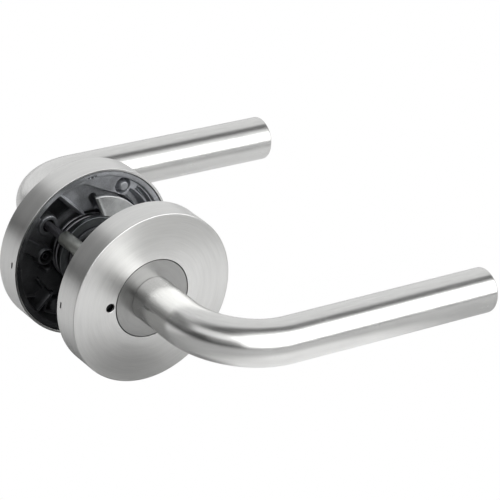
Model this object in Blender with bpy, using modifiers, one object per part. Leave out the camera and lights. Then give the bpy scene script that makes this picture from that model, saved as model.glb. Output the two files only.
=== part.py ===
"""Door lever handle: two sprung levers on round roses, joined by a spindle and bolted through a door.

The origin is on the spindle axis, midway through the door. +Y runs from the outer half to the
inner half, +Z is up, and both levers point along +X when they rest. Each half is modelled about
its own axis with +Z pointing away from the door and zero at the door face, then turned into place.
"""

import math

import bmesh
import bpy
import numpy as np
from mathutils import Matrix, Vector

MM = 0.001

# Overall sizes
ROSE_RADIUS = 33.0 * MM
ROSE_DEPTH = 10.75 * MM
DOOR_GAP = 28.5 * MM
LEVER_LENGTH = 115.0 * MM
LEVER_PROJECTION = 46.0 * MM
TUBE_RADIUS = 8.5 * MM
TUBE_WALL = 1.5 * MM
BEND_RADIUS = 26.7 * MM
DISC_RADIUS = 15.0 * MM

# Gaps between neighbours
GAP = 0.3 * MM
AXIAL_GAP = 0.3 * MM

# Rose cover
SHEET = 0.9 * MM
COVER_EDGE = 0.6 * MM
BROKEN_EDGE = 0.2 * MM
CLIP_SLOT_LENGTH = 2.4 * MM
CLIP_SLOT_WIDTH = 0.8 * MM
CLIP_SLOT_HEIGHT = 2.3 * MM
CLIP_ANGLE = 179.0

# Chassis casting
RING_WALL = 2.0 * MM
RING_SETBACK = 0.4 * MM
FLOOR = 2.0 * MM
HUB_WALL = 1.2 * MM
HUB_END = 2.1 * MM
WEB = 1.5 * MM
WEB_ANGLES = (122.0, 225.0, 290.0)
PEG_RADIUS = 1.85 * MM
PEG_TO_RING = 3.0 * MM
PEG_ANGLE = 64.0
SHELF_ANGLES = (72.0, 121.0)
SHELF_HEIGHT = 4.6 * MM
NOTCH_WIDTH = 2.2 * MM

# Lever flange, its journal and the bush around it
DISC_THICKNESS = 2.0 * MM
SPIGOT_LENGTH = 3.0 * MM
JOURNAL_RADIUS = 9.0 * MM
JOURNAL_END = -2.8 * MM
BUSH_WALL = 1.2 * MM
GROOVE_DEPTH = 0.9 * MM
RING_THICKNESS = 0.9 * MM
RING_WIDTH = 2.4 * MM
RING_OPENING = 22.0
WASHER_THICKNESS = 0.6 * MM
WASHER_WIDTH = 2.2 * MM
DRIVE_FLAT = 8.0 * MM

# Drive cam and spring
CAM_OVERHANG = 0.8 * MM
CAM_THICKNESS = 1.5 * MM
FINGER_THICKNESS = 1.1 * MM
FINGER_WIDTH = 3.6 * MM
FINGER_ANGLE = 255.0
TAB_CLEARANCE = 2.2 * MM
TAB_DEPTH = 2.6 * MM
LUG_WIDTH = 2.4 * MM
WIRE_RADIUS = 0.6 * MM
SPRING_STEPS = 20
LEG_BEND = 1.5 * MM
LEG_POINTS = 4
STOP_TRAVEL = 48.0

# Spring keeper and its screws
KEEPER_WIDTH = 8.0 * MM
KEEPER_BOTTOM = -0.8 * MM
KEEPER_THICKNESS = 1.2 * MM
KEEPER_ANGLES = (-88.0, 94.0)
KEEPER_SCREW_ANGLES = (25.0, -10.0)
KEEPER_SCREW_INSET = 4.4 * MM
KEEPER_SCREW_RADIUS = 1.25 * MM
KEEPER_SCREW_HEAD = 2.25 * MM
KEEPER_SCREW_CROWN = 1.0 * MM
KEEPER_SCREW_EDGE = 0.45 * MM
KEEPER_SCREW_DEPTH = 6.6 * MM

# Square spindle
SPINDLE_SIZE = 8.0 * MM
SPINDLE_SEAT = 8.5 * MM

# Through bolts and the posts they screw into
BOLT_CLEARANCE = 1.05 * MM
BOLT_ANGLES = {"upper": 145.0, "lower": 325.0}
BOLT_RADIUS = 1.75 * MM
BOLT_CHAMFER = 0.4 * MM
BOLT_ENGAGEMENT = 12.0 * MM
BOLT_RUNOUT = 2.0 * MM
POST_WALL = 0.7 * MM
POST_TO_INNER_ROSE = 4.0 * MM
HEAD_FLANGE = 0.95 * MM
HEAD_THICKNESS = 1.3 * MM
KEEPER_BOSS_WALL = 0.9 * MM
BOSS_RIM = 0.4 * MM
BOSS_SETBACK = 1.0 * MM

# Privacy button and the release hole opposite it
RELEASE_ANGLE = 180.0
RELEASE_RADIUS = 1.7 * MM
RELEASE_MARGIN = 0.6 * MM
BUTTON_RADIUS = 1.5 * MM
BUTTON_COLLAR = 0.6 * MM
BUTTON_TRAVEL = 2.0 * MM
BUTTON_PROUD = 0.4 * MM
BUTTON_STEM_RADIUS = 1.5 * MM
BUTTON_STEM_NOSE = 1.0 * MM
BUTTON_STEM_RECESS = 0.9 * MM
BUTTON_COLLAR_THICKNESS = 0.8 * MM
FRICTION_RING_RADIUS = 0.35 * MM
RELEASE_BOSS_WALL = 1.0 * MM

# Resolution
FINE = 44
MEDIUM = 28
COARSE = 14
TUBE_SIDES = 8
BEND_POINTS = 9
WIRE_SIDES = 2
FRICTION_RING_SIDES = 8
ARC_POINTS = 32

# Heights above the door face that several pieces share
FACE = ROSE_DEPTH
COVER_UNDERSIDE = FACE - SHEET
CHASSIS_TOP = COVER_UNDERSIDE - AXIAL_GAP
FLOOR_UNDERSIDE = CHASSIS_TOP - FLOOR
DISC_UNDERSIDE = FACE - DISC_THICKNESS
HUB_TOP = DISC_UNDERSIDE - AXIAL_GAP
WASHER_TOP = HUB_END - AXIAL_GAP
CAM_TOP = WASHER_TOP - WASHER_THICKNESS - AXIAL_GAP
CAM_BOTTOM = CAM_TOP - CAM_THICKNESS
RING_TOP = CAM_BOTTOM - AXIAL_GAP
KEEPER_TOP = KEEPER_BOTTOM + KEEPER_THICKNESS
FINGER_BOTTOM = KEEPER_TOP + AXIAL_GAP
FINGER_TOP = FINGER_BOTTOM + FINGER_THICKNESS

# Radii that several pieces share
COVER_BORE = DISC_RADIUS + GAP
CHASSIS_RADIUS = ROSE_RADIUS - SHEET - GAP
RING_INNER = CHASSIS_RADIUS - RING_WALL
BUSH_BORE = JOURNAL_RADIUS + GAP
BUSH_RADIUS = BUSH_BORE + BUSH_WALL
HUB_BORE = BUSH_RADIUS + GAP
HUB_RADIUS = HUB_BORE + HUB_WALL
SPRING_RADIUS = HUB_RADIUS + GAP + WIRE_RADIUS
SPRING_OUTER = SPRING_RADIUS + WIRE_RADIUS
CAM_RADIUS = SPRING_OUTER + CAM_OVERHANG
TAB_INNER = SPRING_OUTER + TAB_CLEARANCE
TAB_OUTER = TAB_INNER + TAB_DEPTH
KEEPER_BORE = CAM_RADIUS + GAP
KEEPER_RADIUS = KEEPER_BORE + KEEPER_WIDTH
KEEPER_SCREW_REACH = KEEPER_BORE + KEEPER_SCREW_INSET
PEG_REACH = RING_INNER - PEG_TO_RING
POST_BORE = BOLT_RADIUS + GAP
POST_RADIUS = POST_BORE + POST_WALL
BOLT_HEAD_RADIUS = POST_BORE + HEAD_FLANGE
POST_HEAD_RADIUS = POST_RADIUS + HEAD_FLANGE
BOLT_BOSS_RADIUS = POST_HEAD_RADIUS + GAP + BOSS_RIM
BOLT_REACH = max(
    DISC_RADIUS + GAP + POST_HEAD_RADIUS,
    SPRING_OUTER + BOLT_CLEARANCE + BOLT_BOSS_RADIUS,
)
HEAD_POCKET_FLOOR = CHASSIS_TOP - AXIAL_GAP - HEAD_THICKNESS - AXIAL_GAP
TUBE_BORE = TUBE_RADIUS - TUBE_WALL
COLLAR_TOP = COVER_UNDERSIDE - AXIAL_GAP
COLLAR_BOTTOM = COLLAR_TOP - BUTTON_COLLAR_THICKNESS
COLLAR_POCKET_FLOOR = COLLAR_BOTTOM - BUTTON_TRAVEL - AXIAL_GAP
SPIGOT_RADIUS = TUBE_BORE - GAP
COLLAR_RADIUS = BUTTON_RADIUS + BUTTON_COLLAR
COLLAR_POCKET = COLLAR_RADIUS + GAP
RELEASE_BOSS = COLLAR_POCKET + RELEASE_BOSS_WALL
RELEASE_REACH = max(COVER_BORE + RELEASE_RADIUS + RELEASE_MARGIN, SPRING_OUTER + GAP + RELEASE_BOSS)
FRICTION_RING_MIDDLE = COLLAR_POCKET_FLOOR - GAP - FRICTION_RING_RADIUS
STEM_END = FRICTION_RING_MIDDLE - FRICTION_RING_RADIUS - GAP / 2 - BUTTON_STEM_NOSE
RELEASE_BOSS_SETBACK = STEM_END - BUTTON_STEM_RECESS
STEM_BORE = BUTTON_STEM_RADIUS + GAP


def clear_scene():
    """Remove every object, mesh, curve and collection left in the file."""
    for item in list(bpy.data.objects):
        bpy.data.objects.remove(item, do_unlink=True)
    for store in (bpy.data.meshes, bpy.data.curves, bpy.data.materials, bpy.data.collections):
        for item in list(store):
            store.remove(item)


def new_collection(name):
    collection = bpy.data.collections.new(name)
    bpy.context.scene.collection.children.link(collection)
    return collection


def finish(name, colour, roughness, metallic):
    """A plain Principled material."""
    material = bpy.data.materials.new(name)
    material.use_nodes = True
    shader = material.node_tree.nodes["Principled BSDF"]
    shader.inputs["Base Color"].default_value = (*colour, 1.0)
    shader.inputs["Roughness"].default_value = roughness
    shader.inputs["Metallic"].default_value = metallic
    return material


clear_scene()
PARTS = new_collection("door_lever_handle")
CUTTERS = new_collection("cutters")

FINISHES = {
    "satin_steel": ((0.62, 0.62, 0.60), 0.32, 1.0),
    "cast_zinc": ((0.20, 0.21, 0.22), 0.42, 1.0),
    "zinc_plate": ((0.50, 0.51, 0.50), 0.38, 1.0),
    "spring_steel": ((0.42, 0.42, 0.42), 0.30, 1.0),
    "bright_zinc": ((0.58, 0.58, 0.55), 0.30, 1.0),
    "acetal": ((0.78, 0.77, 0.72), 0.50, 0.0),
    "black_rubber": ((0.03, 0.03, 0.03), 0.80, 0.0),
}


class Half:
    """One side of the door: where its pieces hang, and which way its angles run."""

    def __init__(self, name, side):
        self.name = name
        self.side = side
        self.frame = bpy.data.objects.new(name + "_axis", None)
        PARTS.objects.link(self.frame)
        self.frame.location = (0.0, side * DOOR_GAP / 2, 0.0)
        self.frame.rotation_euler = (-side * math.pi / 2, 0.0, 0.0)

    def angle(self, degrees):
        """A clock angle seen from outside the door, about this half's own axis."""
        return -self.side * math.radians(degrees)

    def place(self, reach, degrees):
        turn = self.angle(degrees)
        return Vector((reach * math.cos(turn), reach * math.sin(turn), 0.0))

    def hang(self, *pieces):
        for piece in pieces:
            piece.parent = self.frame


def add_object(name, mesh, material=None):
    """Link a mesh as a finished piece, or as a cutter when it has no material."""
    item = bpy.data.objects.new(name, mesh)
    if material is None:
        CUTTERS.objects.link(item)
        item.hide_render = True
        item.display_type = "WIRE"
        return item
    PARTS.objects.link(item)
    mesh.materials.append(bpy.data.materials.get(material) or finish(material, *FINISHES[material]))
    return item


def smooth(item, degrees=35.0):
    item.data.shade_smooth()
    item.data.set_sharp_from_angle(angle=math.radians(degrees))


def bake(item):
    """Turn an object's modifiers into its mesh."""
    graph = bpy.context.evaluated_depsgraph_get()
    mesh = bpy.data.meshes.new_from_object(item.evaluated_get(graph))
    item.modifiers.clear()
    item.data = mesh
    return item


def turned(name, outline, material=None, steps=FINE, closed=True):
    """Turn an outline of (radius, height) points about Z. Its outer side runs downwards."""
    mesh = bpy.data.meshes.new(name)
    points = [(radius, 0.0, height) for radius, height in outline]
    edges = [(i, i + 1) for i in range(len(points) - 1)]
    if closed:
        edges.append((len(points) - 1, 0))
    mesh.from_pydata(points, edges, [])
    item = add_object(name, mesh, material)
    screw = item.modifiers.new("turn", "SCREW")
    screw.axis = "Z"
    screw.steps = steps
    screw.render_steps = steps
    screw.use_merge_vertices = True
    screw.merge_threshold = 0.00001
    bpy.context.view_layer.update()
    bake(item)
    if material is not None:
        smooth(item)
    return item


def disc(name, radius, low, high, material=None, steps=MEDIUM):
    outline = [(0.0, high), (radius, high), (radius, low), (0.0, low)]
    return turned(name, outline, material, steps, closed=False)


def ring(name, inner, outer, low, high, material=None, steps=MEDIUM):
    outline = [(outer, high), (outer, low), (inner, low), (inner, high)]
    return turned(name, outline, material, steps)


def box(name, low, high, material=None):
    """A box between two corners."""
    mesh = bpy.data.meshes.new(name)
    shape = bmesh.new()
    bmesh.ops.create_cube(shape, size=1.0)
    size = [b - a for a, b in zip(low, high)]
    middle = [(a + b) / 2 for a, b in zip(low, high)]
    bmesh.ops.scale(shape, vec=size, verts=shape.verts)
    bmesh.ops.translate(shape, vec=middle, verts=shape.verts)
    shape.to_mesh(mesh)
    shape.free()
    return add_object(name, mesh, material)


def move_mesh(item, offset=(0.0, 0.0, 0.0), turn=0.0):
    """Turn a mesh about Z and then shift it, leaving its object where it is."""
    item.data.transform(Matrix.Translation(offset) @ Matrix.Rotation(turn, 4, "Z"))
    return item


def sector(name, inner, outer, low, high, start, end, material=None):
    """A flat piece between two radii and two angles in radians, as a filled outline with depth."""
    turns = np.linspace(start, end, ARC_POINTS)
    outer_arc = [(outer * math.cos(t), outer * math.sin(t)) for t in turns]
    inner_arc = [(inner * math.cos(t), inner * math.sin(t)) for t in turns[::-1]]
    outline = outer_arc + inner_arc
    curve = bpy.data.curves.new(name, "CURVE")
    curve.dimensions = "2D"
    curve.fill_mode = "BOTH"
    curve.extrude = (high - low) / 2
    spline = curve.splines.new("POLY")
    spline.points.add(len(outline) - 1)
    for point, (x, y) in zip(spline.points, outline):
        point.co = (x, y, 0.0, 1.0)
    spline.use_cyclic_u = True
    mesh = mesh_from_curve(name, curve)
    item = add_object(name, mesh, material)
    return move_mesh(item, (0.0, 0.0, (high + low) / 2))


def mesh_from_curve(name, curve):
    """Fill in a curve's surface, weld its caps and drop the curve."""
    guide = bpy.data.objects.new(name + "_guide", curve)
    CUTTERS.objects.link(guide)
    bpy.context.view_layer.update()
    graph = bpy.context.evaluated_depsgraph_get()
    mesh = bpy.data.meshes.new_from_object(guide.evaluated_get(graph))
    mesh.name = name
    shape = bmesh.new()
    shape.from_mesh(mesh)
    bmesh.ops.remove_doubles(shape, verts=shape.verts, dist=0.000001)
    bmesh.ops.recalc_face_normals(shape, faces=shape.faces)
    shape.to_mesh(mesh)
    shape.free()
    bpy.data.objects.remove(guide, do_unlink=True)
    mesh.materials.clear()
    return mesh


def rod(name, path, radius, material, resolution):
    """A round bar along a path of points, with flat ends."""
    curve = bpy.data.curves.new(name, "CURVE")
    curve.dimensions = "3D"
    curve.bevel_depth = radius
    curve.bevel_resolution = resolution
    curve.use_fill_caps = True
    spline = curve.splines.new("POLY")
    spline.points.add(len(path) - 1)
    for point, place in zip(spline.points, path):
        point.co = (*place, 1.0)
    item = add_object(name, mesh_from_curve(name, curve), material)
    if material is not None:
        smooth(item)
    return item


def combine(item, others, operation):
    """Join or cut a piece with others in one step. The others are used up."""
    tools = bpy.data.collections.new(operation.lower() + "_tools")
    CUTTERS.children.link(tools)
    for other in others:
        tools.objects.link(other)
    step = item.modifiers.new(operation.lower(), "BOOLEAN")
    step.operation = operation
    step.solver = "EXACT"
    step.operand_type = "COLLECTION"
    step.collection = tools
    bpy.context.view_layer.update()
    bake(item)
    for other in others:
        bpy.data.objects.remove(other, do_unlink=True)
    bpy.data.collections.remove(tools)
    return item


def rose_cover(half):
    """A sheet cup with a round bore for the lever disc and a clip slot in its rim."""
    outline = [
        (COVER_BORE, FACE),
        (ROSE_RADIUS - COVER_EDGE, FACE),
        (ROSE_RADIUS - BROKEN_EDGE, FACE - BROKEN_EDGE),
        (ROSE_RADIUS, FACE - COVER_EDGE),
        (ROSE_RADIUS, 0.0),
        (ROSE_RADIUS - SHEET, 0.0),
        (ROSE_RADIUS - SHEET, COVER_UNDERSIDE),
        (COVER_BORE, COVER_UNDERSIDE),
    ]
    cover = turned(half.name + "_rose_cover", outline, "satin_steel")
    slot = box(
        "clip_slot",
        (ROSE_RADIUS - 2 * SHEET, -CLIP_SLOT_LENGTH / 2, CLIP_SLOT_HEIGHT - CLIP_SLOT_WIDTH / 2),
        (ROSE_RADIUS + SHEET, CLIP_SLOT_LENGTH / 2, CLIP_SLOT_HEIGHT + CLIP_SLOT_WIDTH / 2),
    )
    move_mesh(slot, turn=half.angle(CLIP_ANGLE))
    hole_radius = RELEASE_RADIUS if half.name == "outer" else BUTTON_RADIUS + GAP
    hole = disc("face_hole", hole_radius, COVER_UNDERSIDE - SHEET, FACE + SHEET, None, COARSE)
    move_mesh(hole, half.place(RELEASE_REACH, RELEASE_ANGLE))
    combine(cover, [slot, hole], "DIFFERENCE")
    smooth(cover)
    return cover


def boss(half, name, radius, low, reach, degrees, high=None):
    top = FLOOR_UNDERSIDE + FLOOR / 2 if high is None else high
    return move_mesh(disc(name, radius, low, top, None, COARSE), half.place(reach, degrees))


def chassis(half):
    """The casting inside a rose: ring, floor, hub tube, bosses, lug, stop, peg, shelf and webs."""
    sunk = FLOOR_UNDERSIDE + FLOOR / 2
    outline = [
        (CHASSIS_RADIUS, CHASSIS_TOP),
        (CHASSIS_RADIUS, RING_SETBACK),
        (RING_INNER, RING_SETBACK),
        (RING_INNER, FLOOR_UNDERSIDE),
        (HUB_RADIUS, FLOOR_UNDERSIDE),
        (HUB_RADIUS, HUB_END),
        (HUB_BORE, HUB_END),
        (HUB_BORE, HUB_TOP),
        (COVER_BORE + GAP, HUB_TOP),
        (COVER_BORE + GAP, CHASSIS_TOP),
    ]
    frame = turned(half.name + "_chassis", outline, "cast_zinc")

    additions = []
    for place, degrees in BOLT_ANGLES.items():
        name = "bolt_boss_" + place
        additions.append(boss(half, name, BOLT_BOSS_RADIUS, BOSS_SETBACK, BOLT_REACH, degrees))
    for number, degrees in enumerate(KEEPER_SCREW_ANGLES):
        radius = KEEPER_SCREW_RADIUS + GAP + KEEPER_BOSS_WALL
        low = KEEPER_TOP + AXIAL_GAP
        additions.append(boss(half, "keeper_boss_%d" % number, radius, low, KEEPER_SCREW_REACH, degrees))
    low = RELEASE_BOSS_SETBACK
    additions.append(boss(half, "release_boss", RELEASE_BOSS, low, RELEASE_REACH, RELEASE_ANGLE))
    additions.append(boss(half, "peg", PEG_RADIUS, RING_SETBACK, PEG_REACH, PEG_ANGLE))

    lug = box(
        "spring_lug",
        (TAB_OUTER + 2 * GAP, -FINGER_WIDTH / 2, HUB_END),
        (TAB_OUTER + 2 * GAP + LUG_WIDTH, FINGER_WIDTH / 2, sunk),
    )
    additions.append(move_mesh(lug, turn=half.angle(FINGER_ANGLE)))
    tab_half_angle = math.degrees(math.asin(FINGER_WIDTH / 2 / TAB_INNER))
    web_half_angle = math.degrees(math.asin(WEB / 2 / TAB_INNER))
    stop_angle = FINGER_ANGLE - STOP_TRAVEL - tab_half_angle - web_half_angle
    stop = box("stop", (TAB_INNER, -WEB / 2, HUB_END), (TAB_OUTER, WEB / 2, sunk))
    additions.append(move_mesh(stop, turn=half.angle(stop_angle)))

    embed = RING_WALL / 2
    first, last = sorted(half.angle(degrees) for degrees in SHELF_ANGLES)
    shelf = sector(
        "shelf",
        KEEPER_RADIUS - embed,
        RING_INNER + embed,
        SHELF_HEIGHT,
        sunk,
        first,
        last,
    )
    additions.append(shelf)
    for number, degrees in enumerate(WEB_ANGLES):
        web = box(
            "web_%d" % number,
            (KEEPER_RADIUS - embed, -WEB / 2, BOSS_SETBACK),
            (RING_INNER + embed, WEB / 2, sunk),
        )
        additions.append(move_mesh(web, turn=half.angle(degrees)))
    combine(frame, additions, "UNION")

    cuts = []
    below = JOURNAL_END
    above = FACE
    for place, degrees in BOLT_ANGLES.items():
        shaft = POST_BORE if half.name == "inner" else POST_RADIUS + GAP
        head = BOLT_HEAD_RADIUS if half.name == "inner" else POST_HEAD_RADIUS
        cuts.append(boss(half, "bolt_hole_" + place, shaft, below, BOLT_REACH, degrees, above))
        low = HEAD_POCKET_FLOOR
        cuts.append(boss(half, "head_pocket_" + place, head + GAP, low, BOLT_REACH, degrees, above))
    for number, degrees in enumerate(KEEPER_SCREW_ANGLES):
        radius = KEEPER_SCREW_RADIUS + GAP
        name = "keeper_hole_%d" % number
        cuts.append(boss(half, name, radius, below, KEEPER_SCREW_REACH, degrees, KEEPER_SCREW_DEPTH + GAP))
    bore = STEM_BORE if half.name == "inner" else RELEASE_RADIUS
    cuts.append(boss(half, "release_bore", bore, below, RELEASE_REACH, RELEASE_ANGLE, above))
    if half.name == "inner":
        low = COLLAR_POCKET_FLOOR
        cuts.append(boss(half, "collar_pocket", COLLAR_POCKET, low, RELEASE_REACH, RELEASE_ANGLE, above))
    notch = box(
        "clip_notch",
        (RING_INNER - RING_WALL, -NOTCH_WIDTH / 2, below),
        (ROSE_RADIUS, NOTCH_WIDTH / 2, RING_SETBACK + RING_WALL),
    )
    cuts.append(move_mesh(notch, turn=half.angle(CLIP_ANGLE)))
    combine(frame, cuts, "DIFFERENCE")
    smooth(frame)
    return frame


def bearing_bush(half):
    low = HUB_END
    return ring(half.name + "_bearing_bush", BUSH_BORE, BUSH_RADIUS, low, HUB_TOP, "acetal")


def lever_flange(half):
    """The disc flush in the rose, its spigot for the tube and its journal with a spindle hole."""
    groove_top = RING_TOP + AXIAL_GAP
    groove_low = RING_TOP - RING_THICKNESS - AXIAL_GAP
    outline = [
        (0.0, FACE + SPIGOT_LENGTH),
        (SPIGOT_RADIUS - BROKEN_EDGE, FACE + SPIGOT_LENGTH),
        (SPIGOT_RADIUS, FACE + SPIGOT_LENGTH - BROKEN_EDGE),
        (SPIGOT_RADIUS, FACE),
        (DISC_RADIUS - BROKEN_EDGE, FACE),
        (DISC_RADIUS, FACE - BROKEN_EDGE),
        (DISC_RADIUS, DISC_UNDERSIDE),
        (JOURNAL_RADIUS, DISC_UNDERSIDE),
        (JOURNAL_RADIUS, groove_top),
        (JOURNAL_RADIUS - GROOVE_DEPTH, groove_top),
        (JOURNAL_RADIUS - GROOVE_DEPTH, groove_low),
        (JOURNAL_RADIUS, groove_low),
        (JOURNAL_RADIUS, JOURNAL_END),
        (0.0, JOURNAL_END),
    ]
    flange = turned(half.name + "_lever_flange", outline, "satin_steel", FINE, closed=False)
    hole = SPINDLE_SIZE / 2 + GAP
    depth = SPINDLE_SEAT + GAP
    socket = box("spindle_socket", (-hole, -hole, 2 * JOURNAL_END), (hole, hole, depth))
    cuts = [socket]
    for side in (-1, 1):
        near = side * DRIVE_FLAT
        far = side * 2 * JOURNAL_RADIUS
        low = (-2 * JOURNAL_RADIUS, min(near, far), 2 * JOURNAL_END)
        high = (2 * JOURNAL_RADIUS, max(near, far), CAM_TOP + AXIAL_GAP / 2)
        cuts.append(box("drive_flat", low, high))
    combine(flange, cuts, "DIFFERENCE")
    smooth(flange)
    return flange


def lever_path(start, end):
    """The tube's centre line: out from the rose, round the bend and along to the tip."""
    centre_height = FACE + LEVER_PROJECTION - BEND_RADIUS
    path = [(0.0, 0.0, start)]
    for turn in np.linspace(0.0, math.pi / 2, BEND_POINTS):
        x = BEND_RADIUS * (1 - math.cos(turn))
        z = centre_height + BEND_RADIUS * math.sin(turn)
        path.append((x, 0.0, z))
    path.append((end, 0.0, centre_height + BEND_RADIUS))
    return path


def lever(half):
    """The bent tube, open at both ends."""
    start = FACE + AXIAL_GAP
    end = LEVER_LENGTH - TUBE_WALL - AXIAL_GAP
    tube = rod(half.name + "_lever", lever_path(start, end), TUBE_RADIUS, "satin_steel", TUBE_SIDES)
    past = 2 * TUBE_WALL
    bore = rod("tube_bore", lever_path(start - past, end + past), TUBE_BORE, None, TUBE_SIDES)
    combine(tube, [bore], "DIFFERENCE")
    smooth(tube)
    return tube


def lever_cap(half):
    """The plug that closes the tip: a disc with a rounded rim and a spigot inside the tube."""
    outline = [
        (0.0, TUBE_WALL),
        (TUBE_RADIUS - COVER_EDGE, TUBE_WALL),
        (TUBE_RADIUS - BROKEN_EDGE, TUBE_WALL - BROKEN_EDGE),
        (TUBE_RADIUS, TUBE_WALL - COVER_EDGE),
        (TUBE_RADIUS, 0.0),
        (SPIGOT_RADIUS, 0.0),
        (SPIGOT_RADIUS, -2 * SPIGOT_LENGTH),
        (0.0, -2 * SPIGOT_LENGTH),
    ]
    cap = turned(half.name + "_lever_cap", outline, "satin_steel", MEDIUM, closed=False)
    to_tip = Matrix.Translation((LEVER_LENGTH - TUBE_WALL, 0.0, FACE + LEVER_PROJECTION))
    cap.data.transform(to_tip @ Matrix.Rotation(math.pi / 2, 4, "Y"))
    return cap


def retaining_ring(half):
    """A snap ring in the journal's groove, open on one side."""
    inner = JOURNAL_RADIUS - GROOVE_DEPTH + GAP
    low = RING_TOP - RING_THICKNESS
    opening = math.radians(RING_OPENING)
    start = half.angle(FINGER_ANGLE) + opening / 2
    end = start + 2 * math.pi - opening
    name = half.name + "_retaining_ring"
    outer = inner + RING_WIDTH
    snap = sector(name, inner, outer, low, RING_TOP, start, end, "spring_steel")
    smooth(snap)
    return snap


def thrust_washer(half):
    inner = BUSH_BORE
    low = WASHER_TOP - WASHER_THICKNESS
    name = half.name + "_thrust_washer"
    return ring(name, inner, inner + WASHER_WIDTH, low, WASHER_TOP, "spring_steel")


def drive_cam(half):
    """A plate keyed on the journal, with a finger under the keeper and a tab between the spring legs."""
    cam = disc(half.name + "_drive_cam", CAM_RADIUS, CAM_BOTTOM, CAM_TOP, "bright_zinc", FINE)
    finger = box(
        "finger",
        (SPRING_RADIUS, -FINGER_WIDTH / 2, FINGER_BOTTOM),
        (TAB_OUTER, FINGER_WIDTH / 2, FINGER_TOP),
    )
    tab_top = FLOOR_UNDERSIDE - 3 * AXIAL_GAP
    tab = box(
        "tab",
        (TAB_INNER, BROKEN_EDGE - FINGER_WIDTH / 2, FINGER_BOTTOM + BROKEN_EDGE),
        (TAB_OUTER - BROKEN_EDGE, FINGER_WIDTH / 2 - BROKEN_EDGE, tab_top),
    )
    turn = half.angle(FINGER_ANGLE)
    combine(cam, [move_mesh(finger, turn=turn), move_mesh(tab, turn=turn)], "UNION")
    bore = disc("keyed_bore", BUSH_BORE, CAM_BOTTOM - CAM_THICKNESS, CAM_TOP + CAM_THICKNESS)
    flat = DRIVE_FLAT + GAP
    reach = 2 * CAM_RADIUS
    keep = box("flats", (-reach, -flat, -reach), (reach, flat, reach))
    combine(bore, [keep], "INTERSECT")
    combine(cam, [bore], "DIFFERENCE")
    smooth(cam)
    return cam


def return_spring(half):
    """A torsion spring round the hub tube, its two legs on either side of the cam's tab."""
    offset = FINGER_WIDTH / 2 + GAP + WIRE_RADIUS
    low = FINGER_TOP + GAP + WIRE_RADIUS
    high = FLOOR_UNDERSIDE - GAP - WIRE_RADIUS
    centre = SPRING_RADIUS + LEG_BEND
    swing = math.asin((offset + LEG_BEND) / centre)
    bend_at = math.cos(swing) * centre
    leg_end = TAB_OUTER + 2 * GAP + LUG_WIDTH
    arc = np.linspace(math.pi / 2, 0.0, LEG_POINTS)

    def leg(side, height):
        """From the coil round a small bend and straight out along the tab."""
        bend = [
            (bend_at - LEG_BEND * math.sin(t), side * (offset + LEG_BEND - LEG_BEND * math.cos(t)), height)
            for t in arc
        ]
        return bend + [(leg_end, side * offset, height)]

    coils = int((high - low) / (2 * WIRE_RADIUS + GAP))
    turns = coils * 2 * math.pi - 2 * swing
    count = coils * SPRING_STEPS
    coil = []
    for step in range(count + 1):
        turn = swing + turns * step / count
        height = low + (high - low) * step / count
        coil.append((SPRING_RADIUS * math.cos(turn), SPRING_RADIUS * math.sin(turn), height))
    first = [(x, y, z) for x, y, z in reversed(leg(1, low))]
    last = leg(-1, high)
    path = first[:-1] + coil + last[1:]
    spring = rod(half.name + "_return_spring", path, WIRE_RADIUS, "spring_steel", WIRE_SIDES)
    move_mesh(spring, turn=half.angle(FINGER_ANGLE))
    return spring


def spring_keeper(half):
    """A half plate over the spring, drilled for its screws and for the bolt post that passes it."""
    start, end = sorted(half.angle(degrees) for degrees in KEEPER_ANGLES)
    name = half.name + "_spring_keeper"
    low = KEEPER_BOTTOM
    keeper = sector(name, KEEPER_BORE, KEEPER_RADIUS, low, KEEPER_TOP, start, end, "zinc_plate")
    below = KEEPER_BOTTOM - KEEPER_THICKNESS
    above = KEEPER_TOP + KEEPER_THICKNESS
    clear = POST_RADIUS + GAP
    cuts = [boss(half, "post_hole", clear, below, BOLT_REACH, BOLT_ANGLES["lower"], above)]
    for degrees in KEEPER_SCREW_ANGLES:
        radius = KEEPER_SCREW_RADIUS + GAP
        cuts.append(boss(half, "screw_hole", radius, below, KEEPER_SCREW_REACH, degrees, above))
    combine(keeper, cuts, "DIFFERENCE")
    smooth(keeper)
    return keeper


def keeper_screw(half, number, degrees):
    """A pan head screw through the keeper into its boss."""
    under = KEEPER_BOTTOM - AXIAL_GAP
    crown = under - KEEPER_SCREW_CROWN
    outline = [
        (0.0, KEEPER_SCREW_DEPTH),
        (KEEPER_SCREW_RADIUS, KEEPER_SCREW_DEPTH),
        (KEEPER_SCREW_RADIUS, under),
        (KEEPER_SCREW_HEAD, under),
        (KEEPER_SCREW_HEAD - KEEPER_SCREW_EDGE, crown),
        (0.0, crown),
    ]
    name = "%s_keeper_screw_%d" % (half.name, number)
    screw = turned(name, outline, "bright_zinc", COARSE, closed=False)
    return move_mesh(screw, half.place(KEEPER_SCREW_REACH, degrees))


def spindle():
    """The square bar that both lever flanges sit on."""
    half_size = SPINDLE_SIZE / 2
    far = -DOOR_GAP - SPINDLE_SEAT
    return box(
        "spindle",
        (-half_size, -half_size, far),
        (half_size, half_size, SPINDLE_SEAT),
        "bright_zinc",
    )


def post_end():
    """Height of a post's free end, in the outer half's own measure."""
    return -(DOOR_GAP - POST_TO_INNER_ROSE)


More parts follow.
